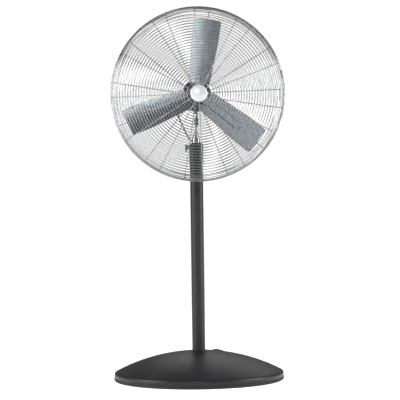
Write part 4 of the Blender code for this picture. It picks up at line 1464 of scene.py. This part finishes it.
    def lead_frame(self) -> Matrix:
        """Where the motor lead enters the mast: +Z points out of the tube.

        Returns:
            The grommet's placement.
        """
        turn = radians(118)
        out = Vector((cos(turn), sin(turn), 0))
        foot = out * (self.mast_radius + GAP) + Vector((0, 0, self.round_top - 0.0065))
        return Matrix.Translation(foot) @ out.to_track_quat("Z", "X").to_matrix().to_4x4()

    def grommet(self) -> None:
        """The rubber grommet in the mast's side."""
        profile = fillet(
            [
                (0.0056, 0.0060, 0.0012),
                (0.0082, 0.0034, 0.0014),
                (0.0082, 0.0005, 0.0004),
                (0.0058, 0.0005, 0),
                (0.0058, -0.0025, 0),
                (0.0039, -0.0025, 0),
                (0.0039, 0.0060, 0.0008),
            ],
            closed=True,
        )
        form = Form().turned(profile, (0, 0, 0), steps=40, place=self.lead_frame())
        form.become("entry_grommet", Body.MAST, Finish.RUBBER, ["lead_grommet"])

    def build(self) -> None:
        """Builds the pole, clamp and mast."""
        self.pole()
        self.bush()
        self.collar()
        self.screw()
        self.mast()
        self.bolts()
        self.grommet()


@dataclass
class MotorHead:
    """The tilting bracket, the motor, its switch box and the lead down to the mast."""

    column: Column
    motor_radius: float = 0.072
    motor_wall: float = 0.003
    front: float = -0.067
    back: float = 0.060
    bell_depth: float = 0.022
    shaft_radius: float = 0.008
    box_size: Point3 = (0.078, 0.038, 0.084)
    box_wall: float = 0.003
    cord_radius: float = 0.0035
    bolt_hole: float = 0.0046
    tilt_down: float = 12
    tilt_up: float = 40
    slot_spare: float = 14.5

    @property
    def box_front(self) -> float:
        """The switch box's face on the motor's back."""
        return self.back + self.bell_depth + 0.0066

    @property
    def lead_exit(self) -> Vector:
        """Where the lead leaves the switch box."""
        return Vector((-self.box_size[0] / 2, self.box_front + 0.020, FAN_HEIGHT - 0.030))

    def bracket(self) -> None:
        """The ear with its lock slot, folded to the foot under the motor."""
        ear_inner = self.column.tongue_thickness / 2 + 0.0006
        ear = 0.004
        foot_high = FAN_HEIGHT - self.motor_radius - GAP
        foot_low = foot_high - 0.004
        rim: list[tuple[float, float, float]] = [
            (-0.0300, foot_low + 0.0005 - PIVOT.z, 0.0),
            (0.0300, foot_low + 0.0005 - PIVOT.z, 0.0),
        ]
        rim += [(0.0305 * cos(radians(-4 * i)), -0.001 + 0.0305 * sin(radians(-4 * i)), 0.0) for i in range(46)]
        start = -90 - self.tilt_down - self.slot_spare
        end = -90 + self.tilt_up + self.slot_spare
        drop, hole = self.column.lock_drop, self.bolt_hole
        slot: list[Point2] = []
        for reach, first, last in ((drop + hole, start, end), (drop - hole, end, start)):
            turns = [radians(first + (last - first) * i / 30) for i in range(31)]
            slot += [(reach * cos(turn), reach * sin(turn)) for turn in turns]
        pivot_hole = circle(hole, 40)
        place = Matrix.Translation((ear_inner + ear / 2, 0, PIVOT.z)) @ FACING_RIGHT
        form = Form().pierced([[p[:2] for p in rim], slot, pivot_hole], ear, place, 0.0004)
        middle_x = ear_inner - 0.0015
        w, l, corner = 0.0115, 0.030, 0.004
        foot = fillet([(-w, -l, corner), (w, -l, corner), (w, l, corner), (-w, l, corner)], closed=True)
        form.slab(foot, 0.004, Matrix.Translation((middle_x, 0, (foot_low + foot_high) / 2)), 0.0005)
        for side in (-1, 1):
            seat = Vector((middle_x - 0.0045, side * 0.021, foot_low))
            form.hexagon(0.0075, 0.0032, Matrix.Translation(seat - Vector((0, 0, 0.0031))))
        form.become("bracket_pressing", Body.HEAD, Finish.MOTOR_ENAMEL, ["tilt_bracket"], 32)

    def bell(self, name: str, node: str, y: float, axis: Axis) -> None:
        """One domed end bell, with cooling ribs round its shoulder, and on the rear bell its four tie-bolt
        nuts.

        Args:
            name: the piece's name.
            node: the CAD node that it stands for.
            y: where the bell meets the shell.
            axis: the way it points.
        """
        r, d = self.motor_radius, self.bell_depth
        bore = self.shaft_radius + 0.0010
        profile = fillet(
            [
                (r, 0, 0.0006),
                (r, 0.0035, 0.0010),
                (r - 0.0022, 0.0052, 0.0010),
                (r - 0.010, d - 0.004, 0.005),
                (r - 0.022, d, 0.004),
                (0.0245, d, 0.0010),
                (0.0222, d + 0.0060, 0.0012),
                (bore, d + 0.0060, 0.0005),
                (bore, d + 0.0020, 0),
                (0.0135, d + 0.0020, 0),
                (0.0135, d - 0.011, 0),
                (0.022, d - 0.011, 0),
                (0.048, d - 0.004, 0.002),
                (r - 0.006, 0, 0),
            ],
            closed=True,
        )
        place = Matrix.Translation((0, y, FAN_HEIGHT)) @ axis.matrix()
        form = Form().turned(profile, (0, 0, 0), steps=96, place=place)
        for i in range(24):
            turn = Matrix.Rotation(tau * (i + 0.5) / 24, 4, "Z")
            rib = fillet([(0.0575, d - 0.0062, 0), (r - 0.0030, 0.0048, 0), (r - 0.0040, 0.0085, 0.001),
                          (0.0600, d - 0.0028, 0.001)], closed=True)
            stand = place @ turn @ UPRIGHT
            form.slab(rib, 0.0026, stand, 0.0004)
        if axis is Axis.BACK:
            for i in range(4):
                turn = radians(45 + 90 * i)
                spot = place @ Matrix.Translation((0.0535 * cos(turn), 0.0535 * sin(turn), d - 0.0006))
                form.hexagon(0.0080, 0.0036, spot)
        form.become(name, Body.HEAD, Finish.MOTOR_ENAMEL, [node])

    def motor(self) -> None:
        """The rolled shell with its end beads, the bells, and what is inside."""
        r, inner = self.motor_radius, self.motor_radius - self.motor_wall
        long = self.back - self.front
        profile: list[tuple[float, float, float]] = [(inner, 0, 0), (r, 0, 0.0006)]
        for at in (0.006, long - 0.0085):
            profile += [(r, at, 0.0004), (r - 0.0011, at + 0.0008, 0.0004), (r - 0.0011, at + 0.0020, 0.0004)]
            profile += [(r, at + 0.0028, 0.0004)]
        profile += [(r, long, 0.0006), (inner, long, 0)]
        place = Matrix.Translation((0, self.front, FAN_HEIGHT)) @ Axis.BACK.matrix()
        Form().turned(fillet(profile[::-1], closed=True), (0, 0, 0), steps=120, place=place).become(
            "motor_case", Body.HEAD, Finish.MOTOR_ENAMEL, ["motor_shell"]
        )
        self.bell("front_end_bell", "motor_front_bell", self.front - GAP, Axis.FRONT)
        self.bell("rear_end_bell", "motor_rear_bell", self.back + GAP, Axis.BACK)
        keep("stator_winding", Finish.COPPER)
        keep("front_bearing", Finish.BRIGHT_STEEL)
        keep("rear_bearing", Finish.BRIGHT_STEEL)
        keep("run_capacitor", Finish.CAN)

    def switch_box(self) -> None:
        """The housing on the motor's back: a rounded tray open to the motor, with its screwed lid line."""
        wide, deep, high = self.box_size

        def loop(inset: float, y: float) -> list[Vector]:
            """A rounded rectangle, inset from the box's sides, at a distance behind the box's face.

            Args:
                inset: the distance inside the box's sides.
                y: the distance behind the box's face.

            Returns:
                The loop's points.
            """
            w, h = wide / 2 - inset, high / 2 - inset
            corner = max(0.009 - inset, 0.003)
            outline = fillet([(-w, -h, corner), (w, -h, corner), (w, h, corner), (-w, h, corner)], True, 6)
            return [Vector((x, self.box_front + y, FAN_HEIGHT + z)) for x, z in outline]

        wall = self.box_wall
        loops = [loop(wall, deep - wall), loop(wall, 0), loop(0.0003, 0), loop(0, 0.0004), loop(0, 0.0110)]
        loops += [loop(0.0008, 0.0116), loop(0.0008, 0.0126), loop(0, 0.0132)]
        for i in range(7):
            turn = pi / 2 * i / 6
            loops.append(loop(0.005 * (1 - cos(turn)), deep - 0.005 + 0.005 * sin(turn)))
        form = Form().lofted(loops)
        stem_at = Vector((0, self.box_front + deep, FAN_HEIGHT + 0.014))
        screw_head = [(0, 0.0018), (0.0016, 0.0017), (0.0030, 0.0010), (0.0034, 0), (0, 0)]
        for x in (-1, 1):
            for z in (-1, 1):
                spot = Vector((x * 0.031, self.box_front + deep - 0.0002, FAN_HEIGHT + z * 0.034))
                form.turned(screw_head, spot, Axis.BACK, 24)
        dial = [(0.0205, 0.0004), (0.0235, 0.0004), (0.0240, 0), (0.0200, 0)]
        form.turned(dial, stem_at - Vector((0, 0.0002, 0)), Axis.BACK, 64)
        for i in range(4):
            turn = radians(90 - 45 * i)
            spot = stem_at + Vector((-0.0222 * cos(turn), -0.0002, 0.0222 * sin(turn)))
            form.turned([(0, 0.0009), (0.0008, 0.0008), (0.0011, 0), (0, 0)], spot, Axis.BACK, 16)
        form.become("switch_housing", Body.HEAD, Finish.MOTOR_ENAMEL, ["switch_box"], 30)
        self.knob(stem_at + Vector((0, 0.0005, 0)))

    def knob(self, stem_at: Vector) -> None:
        """The rotary switch's fluted knob with its pointer.

        Args:
            stem_at: where the stem leaves the housing.
        """
        place = Matrix.Translation(stem_at) @ Axis.BACK.matrix()
        steps = 96
        loops = []
        levels = [(0.0040, -0.010, 0.0), (0.0040, 0.0005, 0.0), (0.0162, 0.0005, 0.0), (0.0165, 0.0012, 0.2)]
        levels += [(0.0158, 0.0050, 1.0), (0.0150, 0.0100, 1.0), (0.0144, 0.0126, 0.6), (0.0130, 0.0144, 0.0)]
        levels += [(0.0118, 0.0150, 0.0), (0.0040, 0.0150, 0.0)]
        for radius, height, flute in levels:
            loop = []
            for i in range(steps):
                turn = tau * i / steps
                reach = radius - 0.0006 * flute * (1 + cos(24 * turn)) / 2
                loop.append(place @ Vector((reach * cos(turn), reach * sin(turn), height)))
            loops.append(loop)
        form = Form().lofted(loops)
        outline = fillet([(-0.0014, -0.001, 0.0006), (0.0014, -0.001, 0.0006), (0.0010, 0.0125, 0.0008),
                          (-0.0010, 0.0125, 0.0008)], closed=True)
        stand = Matrix.Translation(stem_at + Vector((0, 0.0156, 0))) @ Matrix.Rotation(pi / 2, 4, "X")
        form.slab(outline, 0.0020, stand, 0.0005)
        form.become("switch_knob", Body.SWITCH, Finish.PLASTIC, ["speed_knob"], 30)

    def lead_route(self) -> list[Vector]:
        """Out of the switch box's left side, down beside the motor and into the mast's back.

        Returns:
            Points on the lead's centre line.
        """
        x, y, z = self.lead_exit
        entry = self.column.lead_frame() @ Vector((0, 0, 0.0064))
        before = self.column.lead_frame() @ Vector((0, 0, 0.0200))
        return smooth_line(
            [
                (x - 0.0165, y, z),
                (x - 0.0310, y - 0.0009, z - 0.0029),
                (x - 0.0428, y - 0.0028, z - 0.0122),
                (x - 0.0484, y - 0.0052, z - 0.0262),
                (x - 0.0460, y - 0.0088, z - 0.0480),
                (-0.0765, 0.0960, PIVOT.z + 0.017),
                (-0.0680, 0.0900, PIVOT.z - 0.008),
                (-0.0510, 0.0750, PIVOT.z - 0.046),
                before + Vector((-0.0130, 0.0200, 0.0140)),
                before,
                entry,
            ]
        )

    def lead(self) -> None:
        """The gland on the switch box's left side and the flexible lead to the mast."""
        profile = fillet(
            [
                (self.cord_radius + GAP, -0.0040, 0),
                (self.cord_radius + GAP, 0.0160, 0),
                (0.0056, 0.0160, 0.0008),
                (0.0088, 0.0080, 0.0012),
                (0.0088, 0.0003, 0.0008),
                (0.0058, 0.0003, 0),
                (0.0058, -0.0040, 0.0004),
            ],
            closed=True,
        )
        form = Form().turned(profile, self.lead_exit, Axis.LEFT, 40)
        nut = Matrix.Translation(self.lead_exit - Vector((0.0022, 0, 0))) @ Axis.LEFT.matrix()
        form.hexagon(0.0176, 0.0040, nut, 0.0084)
        gland = form.become("switch_gland", Body.HEAD, Finish.PLASTIC, ["lead_gland"])
        path = evenly(self.lead_route(), CORD_STEP)
        lead = Form().wire(path, self.cord_radius, 14).mesh_object("mast_lead", Finish.CORD_JACKET, 60)
        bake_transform(lead)
        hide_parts("motor_lead")
        round(line_length(path), 3)
        log.info("the motor lead is %.3f m long", line_length(path))

    def build(self) -> None:
        """Builds the head."""
        self.bracket()
        self.motor()
        self.switch_box()
        self.lead()


@dataclass
class Guard:
    """The two halves of the wire guard with their centre plates, clips, screws and the badge."""

    radius: float = 0.4155
    seam: float = -0.186
    back: float = -0.092
    face: float = -0.281
    shoulder: float = 0.372
    seam_clearance: float = 0.0035
    ribs: int = 12
    front_turn: float = -2.2
    rear_turn: float = 9.1
    rib_radius: float = 0.0020
    ring_radius: float = 0.0014
    rim_radius: float = 0.0026
    plate_half: float = 0.0025
    plate_radius: float = 0.052
    front_plate_radius: float = 0.041
    plate_hole: float = 0.025
    first_rings: tuple[float, float] = (0.0560, 0.0735)
    pitch: float = 0.0130
    side_pitch: float = 0.0115
    screw_circle: float = 0.036
    screw_hole: float = 0.0029
    screw_turn: float = 67
    clip_turn: float = 48.5

    def profile(self, front: bool) -> list[Vector]:
        """(radius, y) along one half's ribs, from the centre plate to the seam, closely spaced.

        Args:
            front: whether it is the front half.

        Returns:
            The profile's points.
        """
        sign = -1 if front else 1
        seam = self.seam + sign * self.seam_clearance
        face = self.face if front else self.back
        depth = face - seam
        rim = self.radius - 0.0044
        inner = (self.front_plate_radius if front else self.plate_radius) - 0.006
        stops = [(inner, face), (0.100, face), (0.160, face), (0.270, face - 0.05 * depth)]
        reach = rim - self.shoulder
        for i in range(10):
            turn = radians(4 + 86 * i / 9)
            stops.append((self.shoulder + reach * sin(turn), seam + depth * (0.34 + 0.56 * cos(turn))))
        stops += [(rim, seam + depth * 0.17), (rim, seam + sign * 0.0005)]
        return evenly(smooth_line([(r, y, 0) for r, y in stops], 12), 0.003)

    def ring_places(self, line: Sequence[Vector]) -> list[tuple[float, float, float, float]]:
        """(radius, y, outward radius, outward y) of each thin ring.

        Args:
            line: the ribs' profile.

        Returns:
            One entry for each ring.
        """
        places: list[tuple[float, float, float, float]] = []
        travelled = 0.0
        goals = [r - line[0].x for r in self.first_rings]
        while goals[-1] + line[0].x < self.shoulder - 0.006:
            goals.append(goals[-1] + self.pitch)
        total = line_length(line)
        while goals[-1] + self.side_pitch < total - 0.008:
            goals.append(goals[-1] + self.side_pitch)
        at = 0
        for a, b in zip(line, line[1:]):
            step = (b - a).length
            while at < len(goals) and goals[at] <= travelled + step:
                here = a.lerp(b, (goals[at] - travelled) / step)
                along = (b - a).normalized()
                out = Vector((-along.y, along.x, 0))
                places.append((here.x, here.y, out.x, out.y))
                at += 1
            travelled += step
        return places

    def half(self, name: str, node: str, front: bool) -> None:
        """One half: its ribs, every ring, its rim wire and its centre plate.

        Args:
            name: the piece's name.
            node: the CAD node that it stands for.
            front: whether it is the front half.
        """
        line = self.profile(front)
        form = Form()
        turn = self.front_turn if front else self.rear_turn
        thin = [p for i, p in enumerate(line) if i % 3 == 0 or p.x > self.shoulder - 0.02 or i == len(line) - 1]
        for i in range(self.ribs):
            form.wire([around_fan(p.x, turn + 360 * i / self.ribs, p.y) for p in thin], self.rib_radius, 10)
        lift = self.rib_radius + self.ring_radius - 0.0004
        for radius, y, out_r, out_y in self.ring_places(line):
            flip = 1 if out_r > 0.3 or (out_y < 0) == front else -1
            steps = 72 if radius < 0.15 else 120
            form.ring(radius + flip * out_r * lift, y + flip * out_y * lift, self.ring_radius, steps, 8)
        seam = line[-1]
        form.ring(self.radius - 0.0022, seam.y, self.rim_radius, 168, 12)
        self.centre_plate(form, front)
        form.become(name, Body.HEAD, Finish.WIRE_CHROME, [node], 45)

    def centre_plate(self, form: Form, front: bool) -> None:
        """The pressed plate that the ribs are welded to.

        Args:
            form: what it is added to.
            front: whether it is the front half.
        """
        face = self.face if front else self.back
        half, edge = self.plate_half, self.front_plate_radius if front else self.plate_radius
        if front:
            profile = fillet(
                [
                    (0, half, 0),
                    (edge - 0.008, half, 0.001),
                    (edge - 0.006, half - 0.0012, 0.001),
                    (edge, half - 0.0012, 0.0012),
                    (edge, -half, 0.0012),
                    (0, -half, 0),
                ]
            )
            form.turned(profile, (0, face, FAN_HEIGHT), Axis.FRONT, 96)
            return
        holes = [circle(self.plate_hole, 64)]
        for k in range(3):
            turn = radians(self.screw_turn + 120 * k)
            x, y = self.screw_circle * sin(turn), self.screw_circle * cos(turn)
            holes.append(circle(self.screw_hole, 24, x, y))
        place = Matrix(((1, 0, 0, 0), (0, 0, 1, face), (0, 1, 0, FAN_HEIGHT), (0, 0, 0, 1)))
        form.pierced([circle(edge, 96), *holes], 2 * half, place, 0.0006)

    def badge(self) -> None:
        """The plain domed badge, with a rolled edge."""
        profile = [(0.0, 0.0135)]
        for i in range(1, 15):
            r = 0.0370 * i / 14
            profile.append((r, 0.0135 - 0.0088 * (r / 0.0370) ** 2.1))
        profile += [(0.0379, 0.0042), (0.0388, 0.0036), (0.0396, 0.0028), (0.0400, 0.0018), (0.0400, 0.0006)]
        profile += [(0.0396, 0), (0, 0)]
        start = self.face - self.plate_half - GAP
        form = Form().turned(profile, (0, start, FAN_HEIGHT), Axis.FRONT, 120)
        # The badge's near-white finish is a painted reflection of the front light on its chrome.
        form.become("plain_badge", Body.HEAD, Finish.BADGE_PAINTED_GLARE, ["centre_badge"], 50)

    def fittings(self) -> None:
        """The screws that hold the rear half, and the four spring clips at the rim."""
        for i in range(3):
            seat = around_fan(self.screw_circle, self.screw_turn + 120 * i, self.back - self.plate_half - GAP)
            form = Form()
            hex_bolt(form, seat, Vector((0, 1, 0)), 0.0024, 0.009, 0.0086, 0.0034)
            form.become(f"plate_screw_{i + 1}", Body.HEAD, Finish.ZINC, [f"guard_screw_{i + 1}"])
        half, thick = 0.012, 0.0016
        out = self.radius + 0.0013
        strip = fillet(
            [
                (-half, -0.0042, 0),
                (-half, thick, 0.0018),
                (half, thick, 0.0018),
                (half, -0.0042, 0),
                (half - thick, -0.0042, 0),
                (half - thick, 0, 0.0008),
                (-half + thick, 0, 0.0008),
                (-half + thick, -0.0042, 0),
            ],
            closed=True,
        )
        for i in range(4):
            turn = self.clip_turn + 90 * i
            spot = around_fan(out, turn, self.seam)
            place = Matrix.Translation(spot) @ Matrix.Rotation(radians(turn), 4, "Y")
            stand = place @ FACING_RIGHT
            form = Form().slab(strip, 0.018, stand, 0.0003)
            form.become(f"rim_clip_{i + 1}", Body.HEAD, Finish.ZINC, [f"guard_clip_{i + 1}"])

    def build(self) -> None:
        """Builds the guard."""
        self.half("rear_wire_guard", "rear_guard", False)
        self.half("front_wire_guard", "front_guard", True)
        self.badge()
        self.fittings()


@dataclass
class Rotor:
    """The spinning part: shaft, hub with its arms, and three pressed sheet blades."""

    blades: int = 3
    first_turn: float = 8.6
    root: float = 0.052
    tip: float = 0.3625
    tip_slant: float = 0.0035
    chord: float = 0.144
    root_chord: float = 0.114
    pitch: float = 27
    thickness: float = 0.0016
    plane: float = -0.176
    hub_radius: float = 0.030
    shaft_radius: float = 0.008
    channel_half: float = 0.0215
    channel_wall: float = 0.006
    channel_end: float = 0.262
    channel_depth: float = 0.0046
    channel_ramp: float = 0.017
    twist: float = 4
    camber: float = 0.010
    flare: float = 1.5
    leading_corner: float = 0.014
    trailing_corner: float = 0.011

    @property
    def arm_pitch(self) -> float:
        """The arms' slope in radians: the blade's own where the arm is riveted to it."""
        return radians(self.pitch - 2)

    def blade_turn(self, index: int) -> Matrix:
        """The turn about the fan's axis that takes an upright blade to its place."""
        return Matrix.Rotation(radians(self.first_turn + 120 * index), 4, "Y")

    def width(self, share: float) -> float:
        """The sheet's width at a share of the way from its root to its tip."""
        return self.root_chord + (self.chord - self.root_chord) * min(share * self.flare, 1)

    def channel(self, radius: float, across: float) -> float:
        """How far the sheet is pressed back at a point, for the stiffening channel along the blade.

        Args:
            radius: the distance from the fan's axis.
            across: the distance from the blade's middle.

        Returns:
            The depth.
        """
        side = min(max((self.channel_half - abs(across)) / self.channel_wall, 0), 1)
        reach = self.channel_end - 0.012 * abs(across) / self.channel_half
        end = min(max((reach - radius) / self.channel_ramp, 0), 1)
        return self.channel_depth * min(side, end)

    def point(self, radius: float, across: float, lift: float) -> Vector:
        """A point of a blade standing straight up: the leading edge, at positive across, lies to the back.

        Args:
            radius: the distance from the fan's axis.
            across: the distance from the blade's middle.
            lift: how far back of the sheet's middle it lies.

        Returns:
            The point.
        """
        share = (radius - self.root) / (self.tip - self.root)
        pitch = radians(self.pitch - self.twist * share)
        camber = self.camber * (1 - (2 * across / self.width(share)) ** 2)
        x = across * cos(pitch) - (camber + lift) * sin(pitch) * 0.4
        y = across * sin(pitch) + camber + lift
        return Vector((x, self.plane + y, radius))

    def blade_mesh(self, index: int) -> Form:
        """One blade: a sheet with rounded corners, tapering to its root, with the pressed channel.

        Args:
            index: which blade.

        Returns:
            The blade's form.
        """
        rows, columns = 96, 64
        turn = Matrix.Translation((0, 0, FAN_HEIGHT)) @ self.blade_turn(index)
        half = self.thickness / 2
        faces: list[tuple[int, ...]] = []
        points: list[Vector] = []
        for skin in (-half, half):
            for i in range(rows + 1):
                share = i / rows
                for j in range(columns + 1):
                    side = 2 * j / columns - 1
                    across = side * self.width(share) / 2
                    corner = self.leading_corner if side > 0 else self.trailing_corner
                    inset = max(abs(across) - (self.chord / 2 - corner), 0)
                    drop = corner - sqrt(max(corner**2 - inset**2, 0))
                    radius = self.root + (self.tip + self.tip_slant * side - drop * 0.9 - self.root) * share
                    points.append(turn @ self.point(radius, across, skin + self.channel(radius, across)))
        wide = columns + 1
        back = (rows + 1) * wide
        for i in range(rows):
            for j in range(columns):
                a = i * wide + j
                faces.append((a, a + 1, a + wide + 1, a + wide))
                faces.append((back + a, back + a + wide, back + a + wide + 1, back + a + 1))
        border = [*range(columns)] + [i * wide + columns for i in range(rows)]
        border += [rows * wide + j for j in range(columns, 0, -1)] + [i * wide for i in range(rows, 0, -1)]
        for a, b in zip(border, [*border[1:], border[0]]):
            faces.append((b, a, back + a, back + b))
        return Form().add(points, faces)

    def rivets(self, form: Form, index: int, front: bool) -> None:
        """Adds the rivet heads on one side of a blade's arm.

        Args:
            form: what they are added to.
            index: which blade.
            front: whether they are on the front of the blade.
        """
        turn = Matrix.Translation((0, 0, FAN_HEIGHT)) @ self.blade_turn(index)
        head = [(0, 0.0022), (0.0020, 0.0020), (0.0036, 0.0011), (0.0042, 0), (0, -0.0004)]
        pitch = self.arm_pitch
        for radius, across in ((0.074, -0.010), (0.074, 0.010), (0.104, -0.010), (0.104, 0.010), (0.127, 0.0)):
            if front:
                here = self.point(radius, across, self.channel(radius, across) - self.thickness / 2)
            else:
                here = Vector((-0.004 + across * cos(pitch), self.plane + 0.0172 + across * sin(pitch), radius))
            out = Vector((sin(pitch), -cos(pitch), 0)) if front else Vector((-sin(pitch), cos(pitch), 0))
            place = turn @ Matrix.Translation(here) @ out.to_track_quat("Z", "X").to_matrix().to_4x4()
            form.turned(head, (0, 0, 0), steps=20, place=place)

    def hub(self) -> None:
        """The hub, its three arms and their rivets' tails."""
        r, bore = self.hub_radius, self.shaft_radius + GAP
        profile = fillet(
            [
                (r - 0.003, 0.016, 0.0015),
                (r, 0.012, 0.0015),
                (r, -0.010, 0.0015),
                (r - 0.006, -0.016, 0.0020),
                (0.0165, -0.016, 0.0004),
                (0.0165, -0.0150, 0.0004),
                (bore, -0.0150, 0.0004),
                (bore, 0.016, 0.0004),
            ],
            closed=True,
        )
        form = Form().turned(profile, (0, self.plane, FAN_HEIGHT), Axis.BACK, 72)
        for i in range(self.blades):
            w, l, root, end = 0.020, 0.055, 0.002, 0.012
            outline = fillet([(-w, -l, root), (w, -l, root), (w, l, end), (-w, l, end)], closed=True)
            place = (
                Matrix.Translation((0, self.plane, FAN_HEIGHT))
                @ self.blade_turn(i)
                @ Matrix.Translation((-0.004, 0.0157, 0.080))
                @ Matrix.Rotation(self.arm_pitch, 4, "Z")
                @ Matrix.Rotation(pi / 2, 4, "X")
            )
            form.slab(outline, 0.0030, place, 0.0005)
            self.rivets(form, i, False)
        form.become("hub_and_arms", Body.ROTOR, Finish.BLADE_SHEET, ["blade_hub"], 40)

    def shaft(self) -> None:
        """The shaft with chamfered ends, and the nut that holds the hub."""
        low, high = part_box("motor_shaft")
        r = self.shaft_radius
        long = high.y - low.y
        profile = [(0, long), (r - 0.001, long), (r, long - 0.001), (r, 0.001), (r - 0.001, 0), (0, 0)]
        form = Form().turned(profile, (0, low.y, FAN_HEIGHT), Axis.BACK, 48)
        form.become("turned_shaft", Body.ROTOR, Finish.BRIGHT_STEEL, ["motor_shaft"])
        low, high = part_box("hub_nut")
        place = Matrix.Translation((0, low.y, FAN_HEIGHT)) @ Axis.BACK.matrix()
        form = Form().hexagon(0.0242, high.y - low.y, place, r + GAP)
        form.become("shaft_nut", Body.ROTOR, Finish.ZINC, ["hub_nut"])
        keep("rotor_core", Finish.IRON)

    def build(self) -> None:
        """Builds the rotor."""
        for i in range(self.blades):
            form = self.blade_mesh(i)
            self.rivets(form, i, True)
            form.become(f"pressed_blade_{i + 1}", Body.ROTOR, Finish.BLADE_SHEET, [f"blade_{i + 1}"], 40)
        self.hub()
        self.shaft()


def main() -> None:
    """Builds the camera and studio, then every piece."""
    logging.basicConfig(level=logging.INFO, format="%(message)s")
    view = Viewpoint()
    view.camera()
    view.studio()
    base = DomeBase()
    MainsCord(base).build()
    base.build()
    column = Column()
    column.build()
    MotorHead(column).build()
    Guard().build()
    Rotor().build()


if __name__ == "__main__":
    main()
